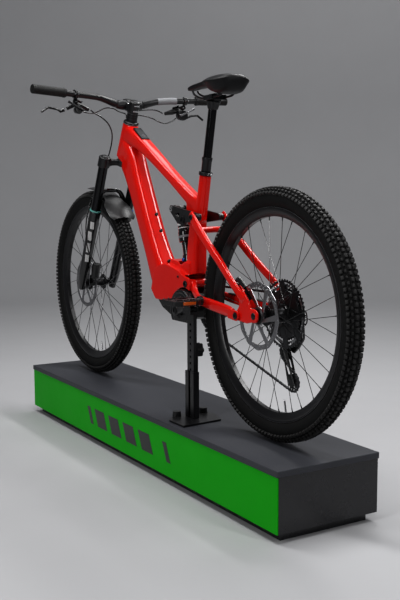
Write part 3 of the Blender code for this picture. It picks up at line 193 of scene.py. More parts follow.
GLASS = surface("dark_glass", (0.006, 0.007, 0.009), (0.008, 0.009, 0.011), 0.32, bump=0.002, rough_spread=0.03,
                specular=0.12)


# --- building ----------------------------------------------------------------------------------------

def put(name, data):
    """An object with the given mesh, curve or other data, in the scene."""
    made = bpy.data.objects.new(name, data)
    bpy.context.scene.collection.objects.link(made)
    return made


def raw(name, bm):
    bmesh.ops.recalc_face_normals(bm, faces=bm.faces)
    if bm.calc_volume(signed=True) < 0:
        bmesh.ops.reverse_faces(bm, faces=bm.faces)
    mesh = bpy.data.meshes.new(name)
    bm.to_mesh(mesh)
    bm.free()
    return put(name, mesh)


def settled(thing):
    """The same object with its modifiers, or its curve, turned into a plain mesh."""
    bpy.context.view_layer.update()
    graph = bpy.context.evaluated_depsgraph_get()
    mesh = bpy.data.meshes.new_from_object(thing.evaluated_get(graph))
    mesh.transform(thing.matrix_world)
    name = thing.name
    bpy.data.objects.remove(thing, do_unlink=True)
    return put(name, mesh)


def merged(things):
    """One object that holds every given object's mesh."""
    bm = bmesh.new()
    for thing in things:
        bm.from_mesh(thing.data)
        bpy.data.objects.remove(thing, do_unlink=True)
    mesh = bpy.data.meshes.new("merged")
    bm.to_mesh(mesh)
    bm.free()
    return put("merged", mesh)


def moulded(things, voxel, rounds=6, cutters=()):
    """The given closed shapes flowing into each other as one skin, less the cutters."""
    made = merged(things)
    remesh = made.modifiers.new("Remesh", "REMESH")
    remesh.mode = "VOXEL"
    remesh.voxel_size = voxel
    soften = made.modifiers.new("Smooth", "SMOOTH")
    soften.factor = 0.5
    soften.iterations = rounds
    made = settled(made)
    for cutter in cutters:
        cut = made.modifiers.new("Cut", "BOOLEAN")
        cut.operation = "DIFFERENCE"
        cut.solver = "MANIFOLD"
        cut.object = cutter
    if cutters:
        made = settled(made)
        for cutter in cutters:
            bpy.data.objects.remove(cutter, do_unlink=True)
    return made


def finished(thing, name, look, body, nodes=(), smooth=38, bevel=0.0, blend=None):
    """Puts a piece on its body under its name, with its material, in place of the given CAD nodes.

    blend holds a second body and two points, which are not used: when blend is given, the piece is only baked where
    it stands and is put on no body."""
    if bevel:
        edge = thing.modifiers.new("Bevel", "BEVEL")
        edge.width = bevel
        edge.segments = 2
        edge.limit_method = "ANGLE"
        edge.angle_limit = math.radians(35)
        thing = settled(thing)
    thing.data.transform(Matrix.Translation(ORIGIN))
    thing.data.shade_smooth()
    thing.data.set_sharp_from_angle(angle=math.radians(smooth))
    thing.data.materials.clear()
    thing.data.materials.append(look)
    thing.name = name
    thing.data.name = name
    if blend:
        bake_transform(thing)
    else:
        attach(thing, body)
    if nodes:
        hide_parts(*nodes)
    return thing


def along_axis(start, end):
    start, end = Vector(start), Vector(end)
    turn = (end - start).to_track_quat("Z", "Y").to_matrix().to_4x4()
    return Matrix.Translation((start + end) / 2) @ turn


def spot(place_xz, y=0.0):
    """A place in the side view as a point in space."""
    return Vector((place_xz[0], y, place_xz[1]))


def rod(start, end, radius, end_radius=None, sides=32):
    bm = bmesh.new()
    far = radius if end_radius is None else end_radius
    length = (Vector(end) - Vector(start)).length
    bmesh.ops.create_cone(bm, cap_ends=True, segments=sides, radius1=radius, radius2=far, depth=length)
    bm.transform(along_axis(start, end))
    return raw("rod", bm)


def across(place_xz, y0, y1, radius, sides=32, end_radius=None):
    x, z = place_xz
    return rod((x, y0, z), (x, y1, z), radius, end_radius, sides)


def box(low, high):
    low, high = Vector(low), Vector(high)
    bm = bmesh.new()
    bmesh.ops.create_cube(bm, size=1)
    bmesh.ops.scale(bm, vec=high - low, verts=bm.verts)
    bmesh.ops.translate(bm, vec=(low + high) / 2, verts=bm.verts)
    return raw("box", bm)


def turned(profile, centre, axis=(0, 1, 0), steps=64):
    """A turned piece: profile is a closed list of (radius, height along the axis)."""
    bm = bmesh.new()
    points = [bm.verts.new((r, 0, h)) for r, h in profile]
    for a, b in zip(points, points[1:] + points[:1]):
        if a.co.x > 0 or b.co.x > 0:
            bm.edges.new((a, b))
    mesh = bpy.data.meshes.new("turned")
    bm.to_mesh(mesh)
    bm.free()
    made = put("turned", mesh)
    screw = made.modifiers.new("Screw", "SCREW")
    screw.steps = steps
    screw.render_steps = steps
    screw.use_merge_vertices = True
    screw.merge_threshold = 1e-6
    turn = Vector(axis).to_track_quat("Z", "Y").to_matrix().to_4x4()
    made.matrix_world = Matrix.Translation(Vector(centre)) @ turn
    made = settled(made)
    bm = bmesh.new()
    bm.from_mesh(made.data)
    bpy.data.objects.remove(made, do_unlink=True)
    return raw("turned", bm)


def plate(outlines, y0, y1, bevel=0.0):
    """A flat plate in the XZ plane from y0 to y1: the first outline is its edge, the others are holes."""
    curve = bpy.data.curves.new("plate", "CURVE")
    curve.dimensions = "2D"
    curve.fill_mode = "BOTH"
    curve.extrude = abs(y1 - y0) / 2 - bevel
    curve.bevel_depth = bevel
    curve.bevel_resolution = 1
    curve.offset = -bevel
    for outline in outlines:
        spline = curve.splines.new("POLY")
        spline.points.add(len(outline) - 1)
        for point, (x, z) in zip(spline.points, outline):
            point.co = (x, z, 0, 1)
        spline.use_cyclic_u = True
    made = put("plate", curve)
    made.matrix_world = Matrix.Translation((0, (y0 + y1) / 2, 0)) @ Matrix.Rotation(math.pi / 2, 4, "X")
    made = settled(made)
    bm = bmesh.new()
    bm.from_mesh(made.data)
    bmesh.ops.remove_doubles(bm, verts=bm.verts, dist=1e-6)
    bpy.data.objects.remove(made, do_unlink=True)
    return raw("plate", bm)


def around(centre, radius, angle):
    """A point on a circle in the XZ plane, its angle in radians from +X towards +Z."""
    return (centre[0] + radius * math.cos(angle), centre[1] + radius * math.sin(angle))


def arc(centre, radius, start, end, count):
    """Points on a circle in the XZ plane, angles in degrees."""
    return [around(centre, radius, math.radians(start + (end - start) * i / (count - 1))) for i in range(count)]


def circle(centre, radius, count=48):
    return arc(centre, radius, 0, 360 - 360 / count, count)


def eased(rows, spacing):
    """Rows about `spacing` apart on the smooth curve through the given ones. A row starts with a place."""
    rows = [list(row) for row in rows]
    before = [2 * a - b for a, b in zip(rows[0], rows[1])]
    after = [2 * a - b for a, b in zip(rows[-1], rows[-2])]
    padded = [before, *rows, after]
    made = []
    for a, b, c, d in zip(padded, padded[1:], padded[2:], padded[3:]):
        gap = math.dist(b[:3], c[:3])
        count = max(1, round(gap / spacing))
        for i in range(count):
            t = i / count
            shares = (-t + 2 * t * t - t ** 3, 2 - 5 * t * t + 3 * t ** 3, t + 4 * t * t - 3 * t ** 3, t ** 3 - t * t)
            made.append([sum(share * value for share, value in zip(shares, column)) / 2
                         for column in zip(a, b, c, d)])
    return [*made, rows[-1]]


def quads(bm, rows, closed=False):
    """Faces between each row of vertices and the next."""
    count = len(rows[0])
    for first, second in zip(rows, rows[1:]):
        for k in range(count if closed else count - 1):
            bm.faces.new((first[k], first[(k + 1) % count], second[(k + 1) % count], second[k]))


def limb(stations, sides=36, power=2.6, spacing=0.010):
    """A lofted tube. Each station is (x, y, z, half height in the side view, half width across)."""
    bm = bmesh.new()
    stations = eased(stations, spacing)
    centres = [Vector(s[:3]) for s in stations]
    rings = []
    for i, station in enumerate(stations):
        along = (centres[min(i + 1, len(centres) - 1)] - centres[max(i - 1, 0)]).normalized()
        wide = Vector((0, 1, 0)) - along * along.y
        if wide.length < 0.2:
            wide = Vector((1, 0, 0)) - along * along.x
        wide.normalize()
        if rings and wide.dot(last) < 0:
            wide = -wide
        last = wide
        tall = along.cross(wide)
        ring = []
        for k in range(sides):
            a = 2 * math.pi * (k + 0.5) / sides
            c, s = math.cos(a), math.sin(a)
            grow = (abs(c) ** power + abs(s) ** power) ** (-1 / power)
            ring.append(bm.verts.new(centres[i] + wide * (c * grow * station[4]) + tall * (s * grow * station[3])))
        rings.append(ring)
    quads(bm, rings, closed=True)
    bm.faces.new(rings[0])
    bm.faces.new(rings[-1])
    return raw("limb", bm)


def hose(points, radius, spacing=0.006):
    curve = bpy.data.curves.new("hose", "CURVE")
    curve.dimensions = "3D"
    curve.bevel_depth = radius
    curve.bevel_resolution = 4
    curve.use_fill_caps = True
    route = eased(points, spacing)
    spline = curve.splines.new("POLY")
    spline.points.add(len(route) - 1)
    for point, at in zip(spline.points, route):
        point.co = (*at, 1)
    made = put("hose", curve)
    return settled(made)


def mirrored(stations):
    """Stations from the right side to the middle, and back out to the left."""
    return [*stations, *((x, -y, z, *rest) for x, y, z, *rest in stations[-2::-1])]


def solidified(bm, thickness):
    """A sheet of faces given a thickness."""
    made = raw("sheet", bm)
    thick = made.modifiers.new("Solidify", "SOLIDIFY")
    thick.thickness = thickness
    thick.offset = 0
    return settled(made)


def bolt(at, axis, radius, height, socket=0.5):
    """A round bolt head with a socket, standing on the surface point `at`."""
    inner = radius * socket
    profile = [(0, -0.001), (radius, -0.001), (radius, height * 0.7), (radius * 0.88, height), (inner, height),
               (inner, height * 0.25), (0, height * 0.25)]
    return turned(profile[::-1], at, axis, 24)


def steer(t, forward=0.0, y=0.0):
    """A point t up the steering axis, and `forward` of it."""
    return STEER_FOOT + STEER_UP * t + STEER_FRONT * forward + Vector((0, y, 0))


def on_seat(s, forward=0.0, y=0.0):
    """A point s up the seat axis from the seat clamp."""
    return SEAT_TOP + SEAT_UP * s + Vector((SEAT_UP.z, 0, -SEAT_UP.x)) * forward + Vector((0, y, 0))


def copied(node):
    """A CAD node's own shape, in the bike's frame."""
    copy = frame["nodes"][node].data.copy()
    copy.transform(Matrix.Translation(-ORIGIN))
    return put(node + "_copy", copy)


def from_node(node, voxel, look, rounds=6):
    """A CAD node's shape with softened edges, in its place."""
    return finished(moulded([copied(node)], voxel, rounds), node + "_skin", look, BODY[node], [node])


def kept_node(node, look, bevel):
    """A CAD node's own shape in its place, with its edges rounded off."""
    return finished(copied(node), node + "_skin", look, BODY[node], [node], bevel=bevel)


# --- wheels ------------------------------------------------------------------------------------------

RIM_INNER = 0.2850
SPOKES = 32
WHEEL_STEPS = 144
SPOKE_RADIUS = 0.0010
FLANGE_HOLES = 0.0268
KNOB_ROWS = 70
CASING_CENTRE, CASING_RADIUS, CASING_HALF = 0.3375, 0.0283, 0.0268
ROTOR_RADIUS, ROTOR_WAVE, ROTOR_WAVES, ROTOR_THICKNESS = 0.0985, 0.0014, 12, 0.0019


def knob(bm, centre, angle, y, tilt, radius, height, length, width):
    """A tapered tread block on the casing: angle round the wheel, tilt away from straight out."""
    out = Vector((math.cos(angle), 0, math.sin(angle)))
    side = Vector((0, 1, 0))
    along = out.cross(side)
    normal = out * math.cos(tilt) + side * math.sin(tilt)
    cross = normal.cross(along)
    foot = centre + out * radius + side * y
    rings = []
    for lift, share in ((-0.002, 1.12), (height, 0.84)):
        long, wide = length / 2 * share, width / 2 * share
        rings.append([bm.verts.new(foot + normal * lift + along * (long * a) + cross * (wide * b))
                      for a, b in ((-1, -1), (1, -1), (1, 1), (-1, 1))])
    low, high = rings
    bm.faces.new(high)
    bm.faces.new(low[::-1])
    quads(bm, rings, closed=True)


# One repeat of the tread, on one side: steps ahead, y, tilt, radius, height, length, width
TREAD_PATTERN = ((0.00, 0.0066, 0.16, 0.3652, 0.0058, 0.0125, 0.0098),
                 (0.50, 0.0082, 0.22, 0.3648, 0.0056, 0.0110, 0.0085),
                 (0.25, 0.0175, 0.62, 0.3600, 0.0052, 0.0090, 0.0066),
                 (0.22, 0.0243, 1.02, 0.3515, 0.0056, 0.0112, 0.0092),
                 (0.72, 0.0243, 1.02, 0.3515, 0.0056, 0.0112, 0.0092),
                 (0.75, 0.0178, 0.62, 0.3600, 0.0048, 0.0075, 0.0055))


def tyre(name, axle, body):
    centre = spot(axle)
    outer = []
    for i in range(21):
        a = math.pi / 2 * (1.62 * i / 20)
        outer.append((CASING_CENTRE + CASING_RADIUS * math.cos(a), CASING_HALF * math.sin(a)))
    outer += [(0.3205, 0.0205), (0.3160, 0.0172), (0.3120, 0.0141), (0.3092, 0.0138)]
    inner = [(0.3092, 0.0118), (0.3360, 0.0210), (0.3560, 0.0150), (0.3600, 0.0)]
    half = outer + inner[:-1]
    made = turned(half + [(r, -h) for r, h in reversed(half[1:])], centre, steps=WHEEL_STEPS)
    finished(made, f"{name}_casing", CASING, body, [f"{name}_tyre"], smooth=50)

    bm = bmesh.new()
    step = 2 * math.pi / KNOB_ROWS
    for i in range(KNOB_ROWS):
        for s in (1, -1):
            for ahead, y, tilt, *sizes in TREAD_PATTERN:
                knob(bm, centre, step * (i + ahead), s * y, s * tilt, *sizes)
    finished(raw("knobs", bm), f"{name}_tread", TREAD, body, smooth=30, bevel=0.0007)

    rings = []
    for s in (1, -1):
        for r, y in ((0.3215, 0.0213), (0.3290, 0.0248)):
            outline = ((-0.0004, -0.0010), (-0.0004, 0.0002), (0.0004, 0.0005), (0.0004, -0.0010))
            rings.append(turned([(r + dr, s * (y + dy)) for dr, dy in outline], centre, steps=WHEEL_STEPS))
    finished(merged(rings), f"{name}_sidewall_rings", TREAD, body)


def wheel(name, axle, half_hub, rotor_y, flange_right, flange_left):
    centre = spot(axle)
    body = BODY[f"{name}_wheel"]
    tyre(name, axle, body)
    half = [(0.3060, 0.0143), (0.3115, 0.0146), (0.3115, 0.0168), (0.3098, 0.0174), (0.3040, 0.0172),
            (0.2950, 0.0135), (0.2868, 0.0086), (RIM_INNER, 0.0070)]
    rim = turned(half + [(r, -h) for r, h in half[::-1]], centre, steps=WHEEL_STEPS)
    finished(rim, f"{name}_rim", SATIN, body, [f"{name}_wheel"])
    outline = ((0.3117, 0.0148), (0.3117, 0.0166), (0.3121, 0.0166), (0.3121, 0.0148))
    edges = [turned([(r, s * y) for r, y in outline], centre, steps=WHEEL_STEPS) for s in (1, -1)]
    finished(merged(edges), f"{name}_rim_edge", GREY, body)

    hub = turned([
        (0.0078, half_hub), (0.0105, half_hub), (0.0110, half_hub - 0.002), (0.0120, flange_left + 0.006),
        (0.0180, flange_left + 0.0030), (0.0300, flange_left + 0.0018), (0.0308, flange_left),
        (0.0300, flange_left - 0.0018),
        (0.0200, flange_left - 0.0040), (0.0165, flange_left - 0.0100), (0.0148, 0.0),
        (0.0165, flange_right + 0.0100),
        (0.0200, flange_right + 0.0040), (0.0300, flange_right + 0.0018), (0.0308, flange_right),
        (0.0300, flange_right - 0.0018), (0.0180, flange_right - 0.0030), (0.0105, flange_right - 0.006),
        (0.0105, -half_hub), (0.0078, -half_hub),
    ], centre, steps=48)
    finished(hub, f"{name}_hub", ANODISED, body)

    spokes = bmesh.new()
    nipples = bmesh.new()
    for i in range(SPOKES):
        flange = flange_left if i % 2 else flange_right
        lean = 1 if (i // 2) % 2 else -1
        rim_angle = 2 * math.pi * (i + 0.5) / SPOKES
        hub_angle = rim_angle + lean * math.radians(65)
        inset = 0.0026 * lean
        start = Vector((FLANGE_HOLES * math.cos(hub_angle), flange + inset, FLANGE_HOLES * math.sin(hub_angle)))
        end = Vector(((RIM_INNER + 0.0020) * math.cos(rim_angle), 0.0030 if i % 2 else -0.0030,
                      (RIM_INNER + 0.0020) * math.sin(rim_angle)))
        shift = Matrix.Translation(centre)
        bmesh.ops.create_cone(spokes, cap_ends=True, segments=8, radius1=SPOKE_RADIUS, radius2=SPOKE_RADIUS,
                              depth=(end - start).length, matrix=shift @ along_axis(start, end))
        head = start + Vector((0, -2.2 * inset, 0))
        bmesh.ops.create_cone(spokes, cap_ends=True, segments=8, radius1=SPOKE_RADIUS, radius2=SPOKE_RADIUS,
                              depth=(head - start).length, matrix=shift @ along_axis(start, head))
        bmesh.ops.create_icosphere(spokes, subdivisions=1, radius=0.0019, matrix=shift @ Matrix.Translation(head))
        low = end + (start - end).normalized() * 0.013
        bmesh.ops.create_cone(nipples, cap_ends=True, segments=8, radius1=0.0020, radius2=0.0015,
                              depth=(low - end).length, matrix=shift @ along_axis(end, low))
    finished(raw("spokes", spokes), f"{name}_spokes", GLOSS, body)
    finished(raw("nipples", nipples), f"{name}_nipples", ANODISED, body)
    turn = math.radians(-101.25)
    out = Vector((math.cos(turn), 0, math.sin(turn)))
    valve = [rod(centre + out * 0.286, centre + out * 0.252, 0.0030, 0.0028, 16),
             rod(centre + out * 0.253, centre + out * 0.246, 0.0022, 0.0016, 12)]
    finished(merged(valve), f"{name}_valve", CHROME, body)

    brake_track = []
    for i in range(144):
        a = 2 * math.pi * i / 144
        r = ROTOR_RADIUS + ROTOR_WAVE * math.cos(ROTOR_WAVES * a)
        brake_track.append(around(axle, r, a))
    outlines = [brake_track]
    for i in range(6):
        a = 60 * i
        outlines.append([*arc(axle, 0.0835, a + 4, a + 52, 12), *arc(axle, 0.0285, a + 72, a + 36, 6)])
    for i in range(36):
        for r, turn in ((0.0945, 0), (0.0885, 5)):
            outlines.append(circle(around(axle, r, math.radians(10 * i + turn)), 0.0020, 8))
    outlines.append(circle(axle, 0.0185, 32))
    finished(plate(outlines, rotor_y, rotor_y + ROTOR_THICKNESS), f"{name}_disc", STEEL, body, [f"{name}_rotor"],
             smooth=30)
    carrier = turned([(0.0112, rotor_y + 0.0050), (0.0210, rotor_y + 0.0050), (0.0245, rotor_y + 0.0020),
                      (0.0245, rotor_y - 0.0010), (0.0112, rotor_y - 0.0010)], centre, steps=48)
    finished(carrier, f"{name}_disc_carrier", ANODISED, body)


# --- drivetrain --------------------------------------------------------------------------------------

CHAIN_Y = -0.0560
CHAIN_LINE_REAR = -0.0495
RING_RADIUS = 0.0720
RING_TEETH = 36
CHAIN_HALF = 0.0032
CHAIN_LIFT = 0.0012
PULLEY_RADIUS = 0.0235
CHAIN_PITCH = 0.0127


def toothed(centre, teeth, root, tip):
    """The outline of a sprocket."""
    points = []
    for i in range(teeth):
        for share, r in ((-0.36, root), (-0.16, tip), (0.16, tip), (0.36, root)):
            points.append(around(centre, r, 2 * math.pi * (i + share) / teeth))
    return points


SPROCKET_TEETH = (51, 45, 39, 33, 28, 24, 21, 18, 16, 14, 12, 10)
SPROCKET_DEPTHS = (0.0312, 0.0356, 0.0402, 0.0449, 0.0495, 0.0523, 0.0548, 0.0573, 0.0596, 0.0617, 0.0637, 0.0652)


def pitch_circle(teeth):
    return CHAIN_PITCH / (2 * math.sin(math.pi / teeth))


def cassette():
    discs = []
    for k, (count, depth) in enumerate(zip(SPROCKET_TEETH, SPROCKET_DEPTHS)):
        pitch_radius = pitch_circle(count)
        outlines = [toothed(REAR_AXLE, count, pitch_radius - 0.0042, pitch_radius - 0.0002)]
        hole_out = pitch_radius - 0.0095
        hole_in = 0.024 if k > 3 else max(0.030, pitch_circle(SPROCKET_TEETH[k + 2]) - 0.006)
        if hole_out - hole_in > 0.005:
            for i in range(8):
                a = 45 * i + 6 * k
                outlines.append([*arc(REAR_AXLE, hole_out, a, a + 31, 7), *arc(REAR_AXLE, hole_in, a + 29, a + 4, 5)])
        outlines.append(circle(REAR_AXLE, 0.0150, 24))
        discs.append(plate(outlines, -depth - 0.0008, -depth + 0.0008))
    centre = spot(REAR_AXLE)
    finished(merged(discs[0::2]), "sprockets_a", DARK_STEEL, BODY["cassette"], ["cassette"], smooth=30)
    finished(merged(discs[1::2]), "sprockets_b", STEEL, BODY["cassette"], smooth=30)
    core = turned([(0.0112, -0.0300), (0.0290, -0.0300), (0.0280, -0.0440), (0.0190, -0.0560), (0.0165, -0.0655),
                   (0.0112, -0.0655)], centre, steps=40)
    finished(core, "cassette_core", ANODISED, BODY["cassette"])


def crank_point(distance, up=0.0):
    """A point along the left crank arm, in the XZ plane."""
    c, s = math.cos(CRANK_RISE), math.sin(CRANK_RISE)
    return (BOTTOM_BRACKET[0] - c * distance + s * up, BOTTOM_BRACKET[1] + s * distance + c * up)


def cranks():
    for side, s in SIDES:
        reach = [crank_point(s * d) for d in (-0.010, 0.0, 0.03, 0.09, 0.150, CRANK_LENGTH, CRANK_LENGTH + 0.012)]
        ys = [0.0765, 0.0765, 0.0775, 0.0820, 0.0865, 0.0875, 0.0875]
        tall = [0.0150, 0.0180, 0.0155, 0.0122, 0.0130, 0.0148, 0.0100]
        wide = [0.0075, 0.0085, 0.0080, 0.0070, 0.0065, 0.0065, 0.0055]
        arm = limb([(x, s * y, z, t, w) for (x, z), y, t, w in zip(reach, ys, tall, wide)], 32, 3.2)
        boss = across(BOTTOM_BRACKET, s * 0.0685, s * 0.0850, 0.0195)
        tip = across(crank_point(s * CRANK_LENGTH), s * 0.0812, s * 0.0938, 0.0150)
        body = BODY[f"crank_{side}"]
        finished(moulded([arm, boss, tip], 0.0014, 6), f"crank_arm_{side}", SATIN, body, [f"crank_{side}"])
        at = spot(BOTTOM_BRACKET, s * 0.0848)
        finished(bolt(at, (0, s, 0), 0.0125, 0.0022, 0.55), f"crank_bolt_{side}", ANODISED, body)
        px, pz = crank_point(s * CRANK_LENGTH)
        axle = [across((px, pz), s * 0.0900, s * 0.1020, 0.0080, 6),
                across((px, pz), s * 0.0950, s * 0.1940, 0.0050, 20)]
        finished(merged(axle), f"pedal_axle_{side}", CHROME, body)
        if s > 0:
            finished(across(BOTTOM_BRACKET, -0.0830, 0.0750, 0.0118), "crank_spindle", ANODISED, body)
    pitch_radius = RING_RADIUS + 0.0042
    ring = [toothed(BOTTOM_BRACKET, RING_TEETH, pitch_radius - 0.0046, pitch_radius - 0.0004)]
    for i in range(5):
        a = 72 * i + 10
        ring.append([*arc(BOTTOM_BRACKET, 0.0600, a, a + 44, 10), *arc(BOTTOM_BRACKET, 0.0300, a + 36, a + 8, 5)])
    ring.append(circle(BOTTOM_BRACKET, 0.0125, 24))
    body = BODY["chainring"]
    finished(plate(ring, CHAIN_Y - 0.0011, CHAIN_Y + 0.0011), "chainring_disc", ANODISED, body, ["chainring"],
             smooth=30)
    spider = turned([(0.0125, 0.0660), (0.0230, 0.0660), (0.0255, 0.0560), (0.0250, 0.0505), (0.0125, 0.0505)],
                    spot(BOTTOM_BRACKET), (0, -1, 0), 48)
    finished(spider, "chainring_spider", SATIN, body)


def pedals():
    for side, s in SIDES:
        x, z = crank_point(s * CRANK_LENGTH)
        body = BODY[f"pedal_{side}"]
        near, far = s * 0.1010, s * 0.2050
        outline = [(near, -0.030), (near, 0.030), (s * 0.108, 0.040), (s * 0.124, 0.0500), (s * 0.184, 0.0500),
                   (s * 0.200, 0.042), (far, 0.034), (far, -0.034), (s * 0.200, -0.042), (s * 0.184, -0.0500),
                   (s * 0.124, -0.0500), (s * 0.108, -0.040)]
        bm = bmesh.new()
        face = bm.faces.new([bm.verts.new((x + dx, y, z - 0.0080)) for y, dx in outline])
        raised = bmesh.ops.extrude_face_region(bm, geom=[face])
        tops = [v for v in raised["geom"] if isinstance(v, bmesh.types.BMVert)]
        bmesh.ops.translate(bm, vec=(0, 0, 0.0160), verts=tops)
        windows = []
        for a, b in ((-0.0405, -0.0135), (0.0135, 0.0405)):
            for y0, y1 in ((0.116, 0.150), (0.156, 0.190)):
                windows.append(box((x + a, min(s * y0, s * y1), z - 0.03), (x + b, max(s * y0, s * y1), z + 0.03)))
        made = moulded([raw("pedal", bm)], 0.0013, 4, windows)
        finished(made, f"pedal_platform_{side}", PLASTIC, body, [f"pedal_{side}"])
        barrel = across((x, z), s * 0.1015, s * 0.1985, 0.0098, 32)
        finished(barrel, f"pedal_barrel_{side}", ANODISED, body)
        pins = bmesh.new()
        for dx in (-0.0455, 0.0455):
            for y in (0.112, 0.132, 0.153, 0.174, 0.194):
                squeeze = 0.86 if y in (0.112, 0.194) else 1.0
                for up in (1, -1):
                    at = Vector((x + dx * squeeze, s * y, z + up * 0.0080))
                    bmesh.ops.create_cone(pins, cap_ends=True, segments=8, radius1=0.0016, radius2=0.0013,
                                          depth=0.0050,
                                          matrix=Matrix.Translation(at + Vector((0, 0, up * 0.0012))))
        finished(raw("pins", pins), f"pedal_pins_{side}", CHROME, body)
        for edge, where in ((x - 0.0500, "rear"), (x + 0.0500, "front")):
            glow = box((edge - 0.0015, s * 0.154 - 0.022, z - 0.0050), (edge + 0.0015, s * 0.154 + 0.022, z + 0.0050))
            finished(glow, f"pedal_reflector_{side}_{where}", ORANGE, body, bevel=0.0007)


def chain_route():
    """The chain's middle line in the XZ plane: arcs round each wheel, joined by their tangents."""
    wheels = [
        (BOTTOM_BRACKET, RING_RADIUS + CHAIN_HALF + CHAIN_LIFT, 1),
        (REAR_AXLE, 0.0520 + CHAIN_HALF + CHAIN_LIFT, 1),
        (UPPER_PULLEY, PULLEY_RADIUS + CHAIN_HALF + CHAIN_LIFT, -1),
        (LOWER_PULLEY, PULLEY_RADIUS + CHAIN_HALF + CHAIN_LIFT, 1),
    ]
    ends = []
    for (c1, r1, s1), (c2, r2, s2) in zip(wheels, wheels[1:] + wheels[:1]):
        gap = Vector((c2[0] - c1[0], c2[1] - c1[1]))
        normal = math.atan2(gap.y, gap.x) - math.acos((r1 * s1 - r2 * s2) / gap.length)
        ends.append((normal if s1 > 0 else normal + math.pi, normal if s2 > 0 else normal + math.pi))
    route = []
    for i, (centre, radius, sense) in enumerate(wheels):
        arrive, leave = ends[i - 1][1], ends[i][0]
        turn = (leave - arrive) * sense % (2 * math.pi) * sense
        count = max(3, round(abs(turn) / 0.06))
        for k in range(count + 1):
            a = arrive + turn * k / count
            route.append(Vector(around(centre, radius, a)))
    return route


def spaced(route, pitch):
    """Points a whole number of pitches apart round a closed route."""
    closed = [*route, route[0]]
    lengths = [0.0]
    for a, b in zip(closed, closed[1:]):
        lengths.append(lengths[-1] + (b - a).length)
    count = 2 * round(lengths[-1] / pitch / 2)
    made = []
    j = 0
    for i in range(count):
        want = lengths[-1] * i / count
        while lengths[j + 1] < want:
            j += 1
        share = (want - lengths[j]) / (lengths[j + 1] - lengths[j])
        made.append(closed[j].lerp(closed[j + 1], share))
    return made


def link_plate(bm, a, b, y0, y1, half):
    """One waisted side plate between the pins a and b."""
    along = (b - a).normalized()
    out = Vector((-along.z, 0, along.x))
    ring = []
    for centre, start in ((a, 90), (b, -90)):
        for i in range(5):
            turn = math.radians(start + 45 * i)
            ring.append(centre + along * (math.cos(turn) * half) + out * (math.sin(turn) * half))
        ring.append((a + b) / 2 + out * (half * (-0.66 if start > 0 else 0.66)))
    side = Vector((0, 1, 0))
    low = [bm.verts.new(p + side * y0) for p in ring]
    high = [bm.verts.new(p + side * y1) for p in ring]
    bm.faces.new(low)
    bm.faces.new(high[::-1])
    for k in range(len(ring)):
        bm.faces.new((low[k], high[k], high[(k + 1) % len(ring)], low[(k + 1) % len(ring)]))


def chain():
    pins = []
    for p in spaced(chain_route(), CHAIN_PITCH):
        share = min(1, max(0, p.x / BOTTOM_BRACKET[0]))
        pins.append(Vector((p.x, CHAIN_LINE_REAR + (CHAIN_Y - CHAIN_LINE_REAR) * share, p.y)))
    bm = bmesh.new()
    for i, (a, b) in enumerate(zip(pins, pins[1:] + pins[:1])):
        far = 0.0026 if i % 2 else 0.0018
        for s in (1, -1):
            link_plate(bm, a, b, s * far, s * (far - 0.0008), 0.0040)
        bmesh.ops.create_cone(bm, cap_ends=True, segments=10, radius1=0.0019, radius2=0.0019, depth=0.0056,
                              matrix=Matrix.Translation(a) @ Matrix.Rotation(math.pi / 2, 4, "X"))
    swing = ("chainstay", (0.400, -0.050, 0.370), (0.100, -0.050, 0.370))
    finished(raw("links", bm), "chain_links", DARK_STEEL, BODY["chain"], ["chain"], smooth=30, blend=swing)


def derailleur():
    body = BODY["derailleur_body"]
    from_node("derailleur_body", 0.0014, SATIN, 8)
    finished(bolt(spot(REAR_AXLE, -0.0922), (0, -1, 0), 0.0095, 0.0020), "hanger_bolt", ANODISED, body)
    strip = limb([(-0.012, -0.0950, 0.332, 0.004, 0.0006), (-0.022, -0.0900, 0.304, 0.004, 0.0006)], 12)
    finished(strip, "derailleur_mark", GREY, body)
    cage = BODY["derailleur_cage"]
    hull = [*arc(UPPER_PULLEY, 0.0140, 20, 160, 14), *arc(LOWER_PULLEY, 0.0130, 160, 340, 16)]
    window = [*arc((UPPER_PULLEY[0] - 0.008, UPPER_PULLEY[1] - 0.028), 0.0060, 20, 160, 8),
              *arc((LOWER_PULLEY[0] + 0.010, LOWER_PULLEY[1] + 0.028), 0.0060, 200, 340, 8)]
    plates = [plate([hull, window], y0, y0 + 0.0018) for y0 in (-0.0442, -0.0570)]
    finished(merged(plates), "cage_plates", SATIN, cage, ["derailleur_cage"], bevel=0.0003)
    hub = turned([(0.0, 0.0612), (0.0080, 0.0612), (0.0110, 0.0595), (0.0110, 0.0560), (0.0, 0.0560)],
                 spot(UPPER_PULLEY), (0, -1, 0), 32)
    pins = [across(c, -0.0578, -0.0428, 0.0040, 20) for c in (UPPER_PULLEY, LOWER_PULLEY)]
    finished(merged([hub, *pins]), "cage_pins", ANODISED, cage)
    for node, centre in (("guide_pulley", UPPER_PULLEY), ("tension_pulley", LOWER_PULLEY)):
        outlines = [toothed(centre, 12, PULLEY_RADIUS - 0.0030, PULLEY_RADIUS + 0.0012)]
        for i in range(6):
            outlines.append(circle(around(centre, 0.0145, math.radians(60 * i)), 0.0032, 12))
        outlines.append(circle(centre, 0.0043, 20))
        disc = plate(outlines, CHAIN_LINE_REAR - 0.0011, CHAIN_LINE_REAR + 0.0011)
        hub = turned([(0.0043, 0.0042), (0.0085, 0.0042), (0.0085, -0.0042), (0.0043, -0.0042)],
                     (centre[0], CHAIN_LINE_REAR, centre[1]), steps=32)
        finished(merged([disc, hub]), f"{node}_wheel", PLASTIC, BODY[node], [node], smooth=30)


# --- frame and suspension ----------------------------------------------------------------------------

